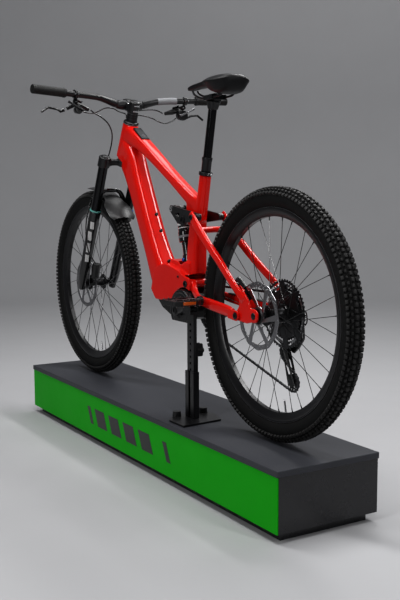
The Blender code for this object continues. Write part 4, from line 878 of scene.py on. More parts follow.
def main_frame():
    body = BODY["main_frame"]
    down = limb([
        (0.955, 0, 0.885, 0.060, 0.030), (0.900, 0, 0.845, 0.052, 0.034), (0.838, 0, 0.745, 0.041, 0.036),
        (0.728, 0, 0.550, 0.039, 0.037), (0.655, 0, 0.440, 0.050, 0.041), (0.600, 0, 0.400, 0.055, 0.046),
    ], 48, 4.6)
    top = limb([
        (0.935, 0, 0.952, 0.034, 0.028), (0.880, 0, 0.935, 0.030, 0.027), (0.760, 0, 0.876, 0.021, 0.024),
        (0.600, 0, 0.785, 0.018, 0.021), (0.470, 0, 0.711, 0.022, 0.020), (0.405, 0, 0.680, 0.026, 0.018),
    ], 48, 4.2)
    head = rod(steer(HEAD_LOW), steer(HEAD_HIGH), 0.0310, 0.0290, 48)
    seat_tube = rod(on_seat(-0.150), on_seat(0), 0.0200, 0.0192, 48)
    lower_seat = limb([
        (0.424, 0, 0.690, 0.020, 0.019), (0.436, 0, 0.600, 0.028, 0.023),
        (0.443, 0, 0.520, 0.031, 0.025), (0.446, 0, 0.458, 0.032, 0.026),
    ], 48, 5.0)
    gusset = plate([[(0.420, 0.700), (0.480, 0.712), (0.486, 0.650), (0.474, 0.624), (0.440, 0.610)]], -0.018, 0.018)
    foot = plate([[(0.440, 0.500), (0.478, 0.500), (0.504, 0.488), (0.520, 0.500), (0.570, 0.505),
                   (0.600, 0.440), (0.560, 0.410), (0.480, 0.430), (0.474, 0.458), (0.440, 0.460)]], -0.0300, 0.0300)
    cradle = plate([[
        (0.638, 0.362), (0.672, 0.396), (0.648, 0.470), (0.600, 0.487), (0.560, 0.490), (0.510, 0.480),
        (0.478, 0.470), (0.440, 0.456), (0.412, 0.450), (0.404, 0.430), (0.408, 0.409),
        *arc(BOTTOM_BRACKET, 0.0725, 112, 14, 28),
    ]], -0.052, 0.052)
    cutters = [
        rod(on_seat(-0.120), on_seat(0.02), 0.0163, sides=48),
        rod(steer(0.44), steer(HEAD_LOW), 0.0620, sides=64),
        plate([[(0.650, 0.340), (0.650, 0.395), (0.610, 0.425), (0.490, 0.425), (0.4762, 0.452),
                (0.395, 0.470), (0.380, 0.440), (0.380, 0.330)]], -0.0445, 0.0445),
        box((0.4755, -0.0255, 0.462), (0.526, 0.0255, 0.56)),
        limb([(0.7990, 0, 0.9205, 0.0060, 0.0166), (0.8670, 0, 0.9642, 0.0060, 0.0166)], 32, 6),
    ]
    made = moulded([down, top, head, seat_tube, lower_seat, gusset, foot, cradle], 0.0026, 9, cutters)
    finished(made, "frame_shell", RED, body, ["main_frame"], smooth=32)

    normal = Vector((-0.871, 0, 0.491))
    for x, z in ((0.720, 0.656), (0.687, 0.599), (0.630, 0.494)):
        at = Vector((x, 0, z))
        finished(bolt(at - normal * 0.0050, normal, 0.0058, 0.0075), f"frame_bolt_{round(x * 1000)}", ANODISED, body)
    for name, (x, z), reach, r in (("main_pivot", MAIN_PIVOT, 0.0522, 0.0115),
                                   ("rocker_axle", ROCKER_PIVOT, 0.0425, 0.0125)):
        for side, s in SIDES:
            finished(bolt((x, s * reach, z), (0, s, 0), r, 0.0036), f"{name}_cap_{side}", ANODISED,
                     body if name == "main_pivot" else BODY["rocker_link"])
    for side, s in SIDES:
        finished(bolt((0.478, s * 0.0520, 0.452), (0, s, 0), 0.0042, 0.0024), f"cradle_bolt_{side}", ANODISED, body)


MOTOR_LOW = 0.3070


def motor():
    body = BODY["motor_unit"]
    shell = plate([[
        (0.634, 0.388), (0.606, 0.420), (0.500, 0.420), (0.466, 0.4075), (0.4075, 0.400),
        (0.386, 0.372), (0.386, 0.345), (0.400, 0.322), (0.440, 0.310), (0.530, 0.312), (0.600, 0.336),
        (0.634, 0.362),
    ]], -0.0440, 0.0440)
    bore = across(BOTTOM_BRACKET, -0.08, 0.08, 0.0155)
    finished(moulded([shell], 0.0022, 6, [bore]), "motor_shell", PLASTIC, body, ["motor_unit"])
    centre = spot(BOTTOM_BRACKET)
    for side, s, reach in (("left", 1, 0.0660), ("right", -1, 0.0470)):
        near = 0.0380
        cover = turned([(0.0157, reach - 0.0020), (0.0240, reach - 0.0020), (0.0260, reach), (0.0500, reach),
                        (0.0520, reach - 0.0012), (0.0560, reach - 0.0012), (0.0580, reach), (0.0640, reach - 0.0006),
                        (0.0672, reach - 0.0030), (0.0700, near), (0.0157, near)][::-1], centre, (0, s, 0), 96)
        below = box((0.34, -0.08, 0.25), (0.55, 0.08, MOTOR_LOW))
        finished(moulded([cover], 0.0013, 2, [below]), f"motor_cover_{side}", SATIN, body)
        for i in (0, 1, 2, 3):
            at = spot(around(BOTTOM_BRACKET, 0.0605, math.radians(60 * i + 20)), s * (reach - 0.0012))
            finished(bolt(at, (0, s, 0), 0.0028, 0.0018), f"motor_bolt_{side}_{i}", ANODISED, body)


def fittings():
    body = BODY["main_frame"]
    cover = turned([(0.0173, 0.0097), (0.0235, 0.0097), (0.0262, 0.0080), (0.0286, 0.0040), (0.0290, 0.0),
                    (0.0173, 0.0)],
                   steer(HEAD_HIGH + GAP), STEER_UP, 48)
    finished(cover, "headset_cover", SATIN, body, ["upper_headset_cover"])
    ring = turned([(0.0280, 0.0008), (0.0293, 0.0008), (0.0293, -0.0008), (0.0280, -0.0008)],
                  steer(HEAD_HIGH + 0.0012), STEER_UP, 48)
    finished(ring, "headset_ring", GREY, body)
    from_node("seat_collar", 0.0010, ANODISED, 4)
    at = on_seat(0.006, -0.0245, 0.0)
    finished(rod(at + Vector((0, -0.009, 0)), at + Vector((0, 0.009, 0)), 0.0028, sides=24), "seat_collar_screw",
             CHROME, body)
    screen = limb([(0.8000, 0, 0.9240, 0.0022, 0.016), (0.8660, 0, 0.9664, 0.0022, 0.016)], 32, 6)
    finished(screen, "display_glass", GLASS, body, ["top_tube_display"])
    along = Vector((0.066, 0, 0.0424)).normalized()
    up = Vector((-along.z, 0, along.x))
    ring_at = Vector((0.8180, 0, 0.9355)) + up * 0.0022
    finished(turned([(0.0052, 0.0004), (0.0062, 0.0004), (0.0062, -0.0004), (0.0052, -0.0004)], ring_at, up, 40),
             "display_ring", GREY, body)


def chainstays():
    body = BODY["chainstays"]
    made = []
    for s in (1, -1):
        made.append(limb([
            (0.426, s * 0.026, 0.430, 0.013, 0.012), (0.402, s * 0.035, 0.418, 0.012, 0.010),
            (0.372, s * 0.0445, 0.402, 0.012, 0.0070), (0.330, s * 0.0560, 0.389, 0.014, 0.0075),
            (0.250, s * 0.0640, 0.382, 0.017, 0.0085), (0.150, s * 0.0700, 0.374, 0.017, 0.0085),
            (0.112, s * 0.0745, 0.370, 0.015, 0.0085)], 36, 3.2))
        made.append(plate([[(0.125, 0.385), *arc(HORST_PIVOT, 0.0155, 95, 265, 20), (0.125, 0.355)]], s * 0.0783,
                          s * 0.0850))
    made.append(across(MAIN_PIVOT, -0.0435, 0.0435, 0.0150))
    finished(moulded(made, 0.0018, 6), "chainstay_shell", RED, body, ["chainstays"])
    for side, s in SIDES:
        finished(bolt(spot(HORST_PIVOT, s * 0.0850), (0, s, 0), 0.0098, 0.0026), f"horst_bolt_{side}", ANODISED, body)
        ring = turned([(0.0100, 0.0006), (0.0118, 0.0006), (0.0118, -0.0010), (0.0100, -0.0010)],
                      spot(HORST_PIVOT, s * 0.0852), (0, s, 0), 32)
        finished(ring, f"horst_ring_{side}", DARK_RED, body)
    guard = limb([(0.330, -0.0560, 0.4040, 0.0016, 0.0060), (0.250, -0.0640, 0.4000, 0.0016, 0.0072),
                  (0.150, -0.0700, 0.3920, 0.0016, 0.0072)], 20, 4)
    finished(guard, "chainstay_guard", PLASTIC, body)


def seatstays():
    body = BODY["seatstays"]
    made = []
    for s in (1, -1):
        made.append(limb([
            (0.380, s * 0.0600, 0.662, 0.012, 0.0050), (0.350, s * 0.0610, 0.632, 0.015, 0.0070),
            (0.290, s * 0.0620, 0.583, 0.013, 0.0090), (0.200, s * 0.0655, 0.519, 0.012, 0.0090),
            (0.110, s * 0.0745, 0.457, 0.012, 0.0065), (0.052, s * 0.0750, 0.416, 0.013, 0.0055)], 36, 3.4))
        made.append(plate([[
            (0.078, 0.432), (0.060, 0.446), (0.030, 0.418), (0.016, 0.394), *arc(REAR_AXLE, 0.0200, 85, 290, 24),
            (0.036, 0.348), *arc(HORST_PIVOT, 0.0150, -110, 75, 16), (0.075, 0.395)]], s * 0.0705, s * 0.0778))
    bridge = mirrored([(0.326, -0.058, 0.609, 0.010, 0.010), (0.332, 0, 0.611, 0.010, 0.011)])
    made.append(limb(bridge, 32))
    finished(moulded(made, 0.0017, 6), "seatstay_shell", RED, body, ["seatstays"])
    for side, s in SIDES:
        finished(bolt(spot(STAY_PIVOT, s * 0.0668), (0, s, 0), 0.0095, 0.0026), f"stay_bolt_{side}", ANODISED, body)
        end = turned([(0.0, 0.0024), (0.0075, 0.0024), (0.0098, 0.0012), (0.0105, -0.0005), (0.0, -0.0005)][::-1],
                     spot(REAR_AXLE, s * 0.0778), (0, s, 0), 32)
        finished(end, f"axle_end_{side}", ANODISED, body)


def rocker():
    body = BODY["rocker_link"]
    made = []
    for s in (1, -1):
        outline = [*arc(SHOCK_TOP, 0.0130, 70, -70, 18), (0.500, 0.628), *arc(ROCKER_PIVOT, 0.0190, -60, -150, 14),
                   *arc(STAY_PIVOT, 0.0125, -120, -250, 18), (0.440, 0.672)]
        window = [(0.488, 0.664), (0.512, 0.660), (0.500, 0.648), (0.486, 0.656)]
        made.append(plate([outline, window], s * 0.0330, s * 0.0420))
        made.append(across(STAY_PIVOT, s * 0.0340, s * 0.0520, 0.0115))
    made.append(across(SHOCK_TOP, -0.0400, 0.0400, 0.0085))
    made.append(across(ROCKER_PIVOT, -0.0410, 0.0410, 0.0063))
    finished(moulded(made, 0.0013, 4), "rocker_shell", SATIN, body, ["rocker_link"])
    for side, s in SIDES:
        finished(bolt(spot(SHOCK_TOP, s * 0.0420), (0, s, 0), 0.0090, 0.0026), f"shock_bolt_{side}", CHROME, body)


def shock():
    top = spot(SHOCK_TOP)
    foot = spot(SHOCK_FOOT)
    up = (top - foot).normalized()
    length = (top - foot).length
    can_body, damper_body = BODY["shock_air_can"], BODY["shock_damper_body"]
    can = turned([
        (0.0, 0.190), (0.0180, 0.190), (0.0205, 0.188), (0.0215, 0.184), (0.0215, 0.128), (0.0226, 0.1265),
        (0.0235, 0.122), (0.0235, 0.094), (0.0226, 0.0905), (0.0195, 0.0890), (0.0160, 0.0890),
        (0.0160, 0.180), (0.0, 0.180),
    ], foot, up, 64)
    finished(can, "shock_can_shell", GLOSS, can_body, ["shock_air_can"])
    ears = [across(SHOCK_TOP, s * 0.0090, s * 0.0300, 0.0125) for s in (1, -1)]
    necks = [box((SHOCK_TOP[0] - 0.011, s * 0.015 - 0.006, 0.655), (SHOCK_TOP[0] + 0.009, s * 0.015 + 0.006, 0.676))
             for s in (1, -1)]
    bore = across(SHOCK_TOP, -0.05, 0.05, 0.0090)
    finished(moulded([*ears, *necks], 0.0012, 4, [bore]), "shock_ears", SATIN, can_body)
    for name, low, high, r, look in (("a", 0.1620, 0.1760, 0.02175, BLUE), ("b", 0.1460, 0.1540, 0.02175, WHITE),
                                     ("c", 0.1360, 0.1390, 0.02175, WHITE), ("d", 0.1040, 0.1120, 0.02370, GREY)):
        band = turned([(r - 0.0008, high), (r, high), (r, low), (r - 0.0008, low)], foot, up, 64)
        finished(band, f"shock_band_{name}", look, can_body)
    body = turned([(0.0, length - 0.092), (0.0150, length - 0.092), (0.0150, 0.0480), (0.0172, 0.0460),
                   (0.0185, 0.0400),
                   (0.0185, 0.0200), (0.0160, 0.0140), (0.0, 0.0120)], foot, up, 64)
    eye = across(SHOCK_FOOT, -0.0195, 0.0195, 0.0125)
    finished(merged([body, eye]), "shock_damper", GLOSS, damper_body, ["shock_damper_body"])
    seal = turned([(0.0152, 0.0860), (0.0164, 0.0860), (0.0164, 0.0835), (0.0152, 0.0835)], foot, up, 48)
    finished(seal, "shock_travel_ring", RUBBER, damper_body)
    dial = turned([(0.0, 0.0050), (0.0050, 0.0050), (0.0060, 0.0040), (0.0060, 0.0), (0.0, 0.0)],
                  foot + up * 0.030 + Vector((0, 0.0180, 0)), (0, 1, 0), 24)
    finished(dial, "shock_dial", BLUE, damper_body)


# --- fork --------------------------------------------------------------------------------------------

# The slanted bars on a leg: lowest and highest point up the leg, and their lead round it
LEG_BARS = ((0.262, 0.292, 0.0), (0.212, 0.250, 0.004), (0.160, 0.200, 0.0), (0.118, 0.148, -0.004))


def fork():
    upper, lower = BODY["fork_upper"], BODY["fork_lowers"]
    crown_t = HEAD_LOW - 0.0068
    shapes = [rod(steer(crown_t - 0.026), steer(crown_t), 0.0260, 0.0240, 48)]
    shapes.append(limb(mirrored([
        (*steer(0.533, LEG_FORWARD, -LEG_Y), 0.0225, 0.0170), (*steer(0.5385, 0.013, -0.040), 0.0130, 0.0170),
        (*steer(0.5435, 0.0015, 0), 0.0130, 0.0200)]), 36, 3.0))
    for s in (1, -1):
        shapes.append(rod(steer(0.517, LEG_FORWARD, s * LEG_Y), steer(0.556, LEG_FORWARD, s * LEG_Y), 0.0235, 0.0225,
                          48))
    finished(moulded(shapes, 0.0016, 6), "fork_crown", SATIN, upper, ["fork_upper"])
    finished(rod(steer(crown_t - 0.010), steer(STEERER_TOP), 0.0165, sides=48), "fork_steerer", ANODISED, upper)
    for side, s in SIDES:
        tube = rod(steer(0.300, LEG_FORWARD, s * LEG_Y), steer(0.552, LEG_FORWARD, s * LEG_Y), 0.0180, sides=48)
        finished(tube, f"stanchion_{side}", STANCHION, upper)
        look = BLUE if s < 0 else ANODISED
        cap = turned([(0.0, 0.0050), (0.0110, 0.0050), (0.0150, 0.0035), (0.0165, 0.0), (0.0, 0.0)],
                     steer(0.5555, LEG_FORWARD, s * LEG_Y), STEER_UP, 36)
        finished(cap, f"fork_cap_{side}", look, upper)

    legs = []
    for s in (1, -1):
        legs.append(limb([
            (*steer(SEAL_T, LEG_FORWARD, s * LEG_Y), 0.0225, 0.0225),
            (*steer(SEAL_T - 0.035, LEG_FORWARD, s * LEG_Y), 0.0215, 0.0215),
            (*steer(0.150, LEG_FORWARD, s * LEG_Y), 0.0205, 0.0205),
            (*steer(0.045, LEG_FORWARD + 0.002, s * LEG_Y), 0.0200, 0.0195),
            (*steer(-0.016, LEG_FORWARD + 0.006, s * 0.0680), 0.0160, 0.0130)], 40, 2.0))
        legs.append(plate([[*arc(FRONT_AXLE, 0.0150, -60, 90, 16), tuple(steer(0.060, 0.034).xz),
                            tuple(steer(0.060, 0.010).xz), tuple(steer(-0.014, 0.010).xz)]], s * 0.0580, s * 0.0760))
    legs.append(limb(mirrored([
        (*steer(0.312, 0.034, -LEG_Y), 0.0120, 0.0140), (*steer(0.352, 0.047, -0.062), 0.0100, 0.0120),
        (*steer(0.396, 0.057, -0.038), 0.0085, 0.0085), (*steer(0.404, 0.058, 0), 0.0085, 0.0110)]), 32, 2.6))
    cutters = [rod(steer(0.060, LEG_FORWARD, s * LEG_Y), steer(0.46, LEG_FORWARD, s * LEG_Y), 0.0187, sides=48)
               for s in (1, -1)]
    cutters.append(across(FRONT_AXLE, -0.1, 0.1, 0.0079))
    finished(moulded(legs, 0.0018, 5, cutters), "fork_lower_shell", GLOSS, lower, ["fork_lowers"])
    for side, s in SIDES:
        seal = turned([(0.0188, 0.0045), (0.0200, 0.0045), (0.0222, 0.0020), (0.0222, -0.0010), (0.0188, -0.0010)],
                      steer(SEAL_T + 0.0010, LEG_FORWARD, s * LEG_Y), STEER_UP, 48)
        finished(seal, f"wiper_seal_{side}", TEAL if s > 0 else BLUE, lower)
        end = turned([(0.0, 0.0040), (0.0070, 0.0040), (0.0090, 0.0025), (0.0100, 0.0), (0.0, 0.0)],
                     steer(-0.0150, LEG_FORWARD + 0.006, s * 0.0680), -STEER_UP, 32)
        finished(end, f"leg_end_{side}", DARK_RED if s < 0 else ANODISED, lower)
        # Generic slanted bars down the outside of the legs
        for k, (low, high, lift) in enumerate(LEG_BARS):
            mark(s, low, high, lift, k)
    finished(across(FRONT_AXLE, -0.0780, 0.0780, 0.0072, 32), "front_axle", ANODISED, BODY["front_thru_axle"],
             ["front_thru_axle"])
    mudguard()


MUDGUARD_RADIUS = 0.3850
MUDGUARD_ROWS, MUDGUARD_SIDES = 44, 24


def mudguard():
    """A thin curved sheet over the tyre: narrow under the arch, wide and drooping behind it."""
    bm = bmesh.new()
    rows = []
    for i in range(MUDGUARD_ROWS + 1):
        turn = math.radians(92 + 44 * i / MUDGUARD_ROWS)
        behind = min(1, max(0, (10 * i / MUDGUARD_ROWS - 5.5) / 2))
        behind = behind * behind * (3 - 2 * behind)
        width = 0.035 + 0.019 * behind - 0.014 * max(0, (i - 40) / 4) ** 2
        row = []
        for k in range(MUDGUARD_SIDES + 1):
            side = -1 + 2 * k / MUDGUARD_SIDES
            r = MUDGUARD_RADIUS - (0.0060 + 0.0080 * behind) * side * side
            row.append(bm.verts.new(spot(around(FRONT_AXLE, r, turn), side * width)))
        rows.append(row)
    quads(bm, rows)
    finished(solidified(bm, 0.0020), "front_mudguard_skin", GUARD, BODY["front_mudguard"], ["front_mudguard"],
             smooth=50)


def mark(s, low, high, lift, k):
    """A slanted bar of thin film on the outside of a fork leg."""
    bm = bmesh.new()
    rows = []
    radius = 0.0212
    for i in range(9):
        row = []
        for j in range(7):
            t = low + (high - low) * i / 8
            turn = math.radians(-150 + 7.0 * (j - 3) + 260 * (t - low) + 1500 * lift)
            wide = radius - (0.345 - t) * 0.0035 + 0.0003
            forward = LEG_FORWARD + wide * math.cos(turn)
            row.append(bm.verts.new(steer(t, forward, s * (LEG_Y - wide * math.sin(turn)))))
        rows.append(row)
    quads(bm, rows)
    side = "left" if s > 0 else "right"
    finished(solidified(bm, 0.0004), f"leg_mark_{side}_{k}", WHITE, BODY["fork_lowers"])


# --- cockpit -----------------------------------------------------------------------------------------

def cockpit():
    c = BAR_CENTRE
    body = BODY["handlebar"]
    path = [(0, 0.0, 0.0, 0.0175), (0.030, 0.0, 0.0, 0.0175), (0.050, -0.001, 0.0015, 0.0150),
            (0.085, -0.004, 0.011, 0.0125), (0.125, -0.010, 0.0200, 0.0113), (0.160, -0.0150, 0.0225, 0.0111),
            (0.250, -0.0290, 0.0260, 0.0111), (BAR_HALF - 0.002, -0.0500, 0.0310, 0.0111)]
    stations = mirrored([(c.x + dx, -y, c.z + dz, r, r) for y, dx, dz, r in path[::-1]])
    finished(limb(stations, 40, 2.0), "bar", SATIN, body, ["handlebar"])
    clamp = turned([(0.0, 0.0440), (0.0170, 0.0440), (0.0200, 0.0415), (0.0200, 0.0), (0.0, 0.0)],
                   steer(STEM_LOW), STEER_UP, 48)
    shape = limb([(*(c - STEER_FRONT * 0.030), 0.0160, 0.019), (*(c - STEER_FRONT * 0.006), 0.0205, 0.0220),
                  (*(c + STEER_FRONT * 0.0210), 0.0190, 0.0200)], 36, 3.4)
    cutters = [rod((c.x, -0.05, c.z), (c.x, 0.05, c.z), 0.0179, sides=48),
               rod(steer(0.68), steer(STEERER_TOP + GAP), 0.0168, sides=48)]
    finished(moulded([clamp, shape], 0.0013, 5, cutters), "stem_shell", SATIN, body, ["stem"])
    lows = HEAD_HIGH + 0.0105
    for k in range(3):
        t0 = lows + 0.0100 * k
        spacer = turned([(0.0168, 0.0098), (0.0198, 0.0098), (0.0203, 0.0092), (0.0203, 0.0006), (0.0198, 0.0),
                         (0.0168, 0.0)],
                        steer(t0), STEER_UP, 48)
        finished(spacer, f"spacer_{k}", ANODISED, body)
    face = STEER_FRONT
    for k, (y, lift) in enumerate(((0.0150, 0.0125), (-0.0150, 0.0125), (0.0150, -0.0125), (-0.0150, -0.0125))):
        at = c + face * 0.0195 + STEER_UP * lift + Vector((0, y, 0))
        finished(bolt(at, face, 0.0038, 0.0036), f"face_bolt_{k}", CHROME, body)
        back = c - face * 0.0215 + STEER_UP * lift + Vector((0, y, 0))
        finished(bolt(back, -face, 0.0042, 0.0040), f"stem_bolt_{k}", CHROME, body)
    for k, lift in enumerate((0.012, 0.032)):
        at = steer(STEM_LOW + lift, -0.0190, 0)
        finished(rod(at + Vector((0, -0.011, 0)), at + Vector((0, 0.011, 0)), 0.0030, sides=24), f"clamp_bolt_{k}",
                 CHROME, body)
    cap = turned([(0.0, 0.0015), (0.0150, 0.0015), (0.0170, 0.0), (0.0, 0.0)], steer(STEM_LOW + 0.0438), STEER_UP, 40)
    finished(cap, "stem_top_cap", ANODISED, body)
    for side, s in SIDES:
        tip = Vector((c.x - 0.0500, s * (BAR_HALF - 0.002), c.z + 0.0310))
        line = (tip - Vector((c.x - 0.0290, s * 0.2500, c.z + 0.0260))).normalized()
        start = tip - line * 0.128
        profile = [(0.0115, 0.0), (0.0158, 0.0), (0.0166, 0.0015), (0.0166, 0.0090), (0.0158, 0.0100)]
        for k in range(22):
            low_edge = 0.0110 + 0.0050 * k
            profile += [(0.0150, low_edge), (0.0158, low_edge + 0.0009), (0.0158, low_edge + 0.0034),
                        (0.0150, low_edge + 0.0043)]
        profile += [(0.0160, 0.1230), (0.0160, 0.1290), (0.0150, 0.1305), (0.0, 0.1305), (0.0, 0.1285),
                    (0.0115, 0.1285)]
        finished(turned(profile[::-1], start, line, 48), f"grip_sleeve_{side}", RUBBER, body, [f"grip_{side}"])
        ring = turned([(0.0160, 0.0012), (0.0170, 0.0020), (0.0170, 0.0080), (0.0160, 0.0088)][::-1], start, line, 48)
        finished(ring, f"grip_ring_{side}", ANODISED, body)


def controls():
    c = BAR_CENTRE
    for side, s in SIDES:
        from_node(f"brake_master_{side}", 0.0009, SATIN, 5)
        from_node(f"brake_lever_{side}", 0.0008, SATIN, 5)
        at = Vector((c.x - 0.0252 + 0.047, s * 0.2520, c.z + 0.0250 - 0.0500))
        finished(bolt(at + Vector((0, 0, 0.0040)), (0, 0, 1), 0.0040, 0.0012), f"lever_pin_{side}", CHROME,
                 BODY[f"brake_lever_{side}"])
        cap = limb([(c.x + 0.0008, s * 0.214, c.z + 0.0060, 0.0012, 0.0085),
                    (c.x + 0.0100, s * 0.190, c.z - 0.0030, 0.0012, 0.0080)], 20, 4)
        finished(cap, f"reservoir_lid_{side}", GLOSS, BODY[f"brake_master_{side}"])
        for k, (dx, y, dz) in enumerate(((-0.0412, 0.2185, 0.0330), (-0.0412, 0.2315, 0.0330),
                                         (-0.0412, 0.2085, 0.0060))):
            finished(bolt((c.x + dx, s * y, c.z + dz - 0.008), (-1, 0, 0.2), 0.0030, 0.0028),
                     f"lever_bolt_{side}_{k}", CHROME,
                     BODY[f"brake_master_{side}"])
    from_node("shifter_paddle", 0.0007, STEEL, 4)
    from_node("dropper_lever", 0.0007, PLASTIC, 4)


def sleeve():
    """A pale woven sleeve over the right half of the bar."""
    c = BAR_CENTRE
    path = [(c.x - 0.0085, -0.115, c.z + 0.0180), (c.x - 0.0150, -0.160, c.z + 0.0225),
            (c.x - 0.0200, -0.190, c.z + 0.0235)]
    finished(hose(path, 0.0127, 0.002), "bar_sleeve", SLEEVE, BODY["handlebar"])


# --- seat --------------------------------------------------------------------------------------------

RAIL_Z = 1.0240


def seat():
    body = BODY["saddle"]
    tube = turned([(0.0157, 0.058), (0.0166, 0.058), (0.0170, 0.0565), (0.0170, 0.0500), (0.0164, 0.0490),
                   (0.0164, 0.0460),
                   (0.0157, 0.0450), (0.0157, -0.110), (0.0140, -0.110), (0.0140, 0.058)], on_seat(0), SEAT_UP, 48)
    finished(tube, "dropper_outer", ANODISED, BODY["dropper_outer_tube"], ["dropper_outer_tube"])
    finished(rod(on_seat(-0.105), on_seat(0.224), 0.0137, sides=48), "dropper_inner", STANCHION, body,
             ["dropper_inner_tube"])
    head = limb([(*on_seat(0.210), 0.0150, 0.0142), (*on_seat(0.224), 0.0180, 0.0180),
                 (*on_seat(0.236), 0.0215, 0.0215)], 32, 3.0)
    finished(moulded([head], 0.0012, 5), "dropper_head", SATIN, body)
    rails = []
    for s in (1, -1):
        rails.append(hose([(0.242, s * 0.020, 1.0600), (0.244, s * 0.0205, 1.0460),
                           (0.258, s * 0.0215, RAIL_Z + 0.004),
                           (0.290, s * 0.0220, RAIL_Z), (0.360, s * 0.0220, RAIL_Z),
                           (0.400, s * 0.019, RAIL_Z + 0.008),
                           (0.436, s * 0.012, 1.0440), (0.450, s * 0.009, 1.0560)], 0.0035))
    finished(merged(rails), "saddle_rails", ANODISED, body, ["saddle_rails_and_clamp"])
    clamp = [box((0.304, -0.0275, RAIL_Z - 0.0080), (0.356, 0.0275, RAIL_Z + 0.0080)),
             box((0.312, -0.0120, RAIL_Z - 0.0120), (0.348, 0.0120, RAIL_Z + 0.0120))]
    finished(moulded(clamp, 0.0010, 5), "saddle_clamp", SATIN, body)
    for k, x in enumerate((0.309, 0.351)):
        finished(bolt((x, 0, RAIL_Z + 0.0075), (0, 0, 1), 0.0045, 0.0050), f"saddle_bolt_{k}", CHROME, body)
    saddle(body)


# Along the saddle: x, half width, height of the top, depth of the skirts
SADDLE = ((0.202, 0.028, 1.0770, 0.0120), (0.208, 0.044, 1.0820, 0.0340), (0.220, 0.057, 1.0855, 0.0520),
          (0.240, 0.066, 1.0870, 0.0600), (0.265, 0.0700, 1.0870, 0.0600), (0.292, 0.065, 1.0860, 0.0500),
          (0.320, 0.051, 1.0845, 0.0360), (0.350, 0.036, 1.0825, 0.0260), (0.380, 0.027, 1.0810, 0.0210),
          (0.415, 0.0215, 1.0795, 0.0190), (0.450, 0.0190, 1.0770, 0.0175), (0.472, 0.0155, 1.0735, 0.0150),
          (0.484, 0.0085, 1.0690, 0.0080))


SKIRT_FROM = 0.8
CROWN_SHARE = 0.36


def saddle(body):
    """A padded shell: crowned top with a centre channel, and skirts that turn under."""
    rows = eased([(x, 0, z, half, depth) for x, half, z, depth in SADDLE], 0.006)
    bm = bmesh.new()
    across_count = 33
    skin = []
    for x, _, z, half, depth in rows:
        row = []
        for k in range(across_count):
            u = -1 + 2 * k / (across_count - 1)
            if abs(u) < SKIRT_FROM:
                y = half * math.sin(max(-1.0, min(1.0, u * 1.25)) * math.pi / 2)
                drop = CROWN_SHARE * depth * (abs(y) / max(half, 1e-6)) ** 3.0
            else:
                skirt = (abs(u) - SKIRT_FROM) / 0.2
                y = half * (1 - (0.10 + 6.0 * depth) * skirt) * (1 if u > 0 else -1)
                drop = depth * (CROWN_SHARE + 0.64 * skirt)
            fade = min(1, max(0, (0.440 - x) / 0.03)) * min(1, max(0, (x - 0.205) / 0.02))
            channel = 0.0040 * math.exp(-(y / 0.0085) ** 2) * fade
            row.append(bm.verts.new((x, y, z - drop - channel)))
        skin.append(row)
    quads(bm, skin)
    for row in (skin[0], skin[-1]):
        bm.faces.new(row)
    for first, second in zip(skin, skin[1:]):
        bm.faces.new((first[0], first[-1], second[-1], second[0]))
    made = raw("saddle", bm)
    soft = made.modifiers.new("Subdivision", "SUBSURF")
    soft.levels = 1
    soft.render_levels = 1
    made = settled(made)
    pad = finished(made, "saddle_pad", COVER, body, ["saddle"], smooth=60)


# --- brakes and lines --------------------------------------------------------------------------------

def calipers():
    from_node("rear_caliper", 0.0011, SATIN, 6)
    from_node("front_caliper", 0.0011, SATIN, 6)
    body = BODY["rear_caliper"]
    for k, (x, z) in enumerate(((0.060, 0.430), (0.099, 0.459))):
        finished(bolt((x, 0.0668, z), (0, 1, 0), 0.0052, 0.0030), f"rear_caliper_bolt_{k}", CHROME, body)
    tab = limb([(0.058, 0.0690, 0.436, 0.005, 0.0030), (0.082, 0.0700, 0.452, 0.005, 0.0030)], 16, 3)
    finished(tab, "rear_caliper_adapter", DARK_RED, body)


def line_end(y, forward):
    """Where a line goes down into the upper headset cover."""
    return [tuple(steer(0.7230, forward + 0.008, y)), tuple(steer(0.7108, forward, y))]


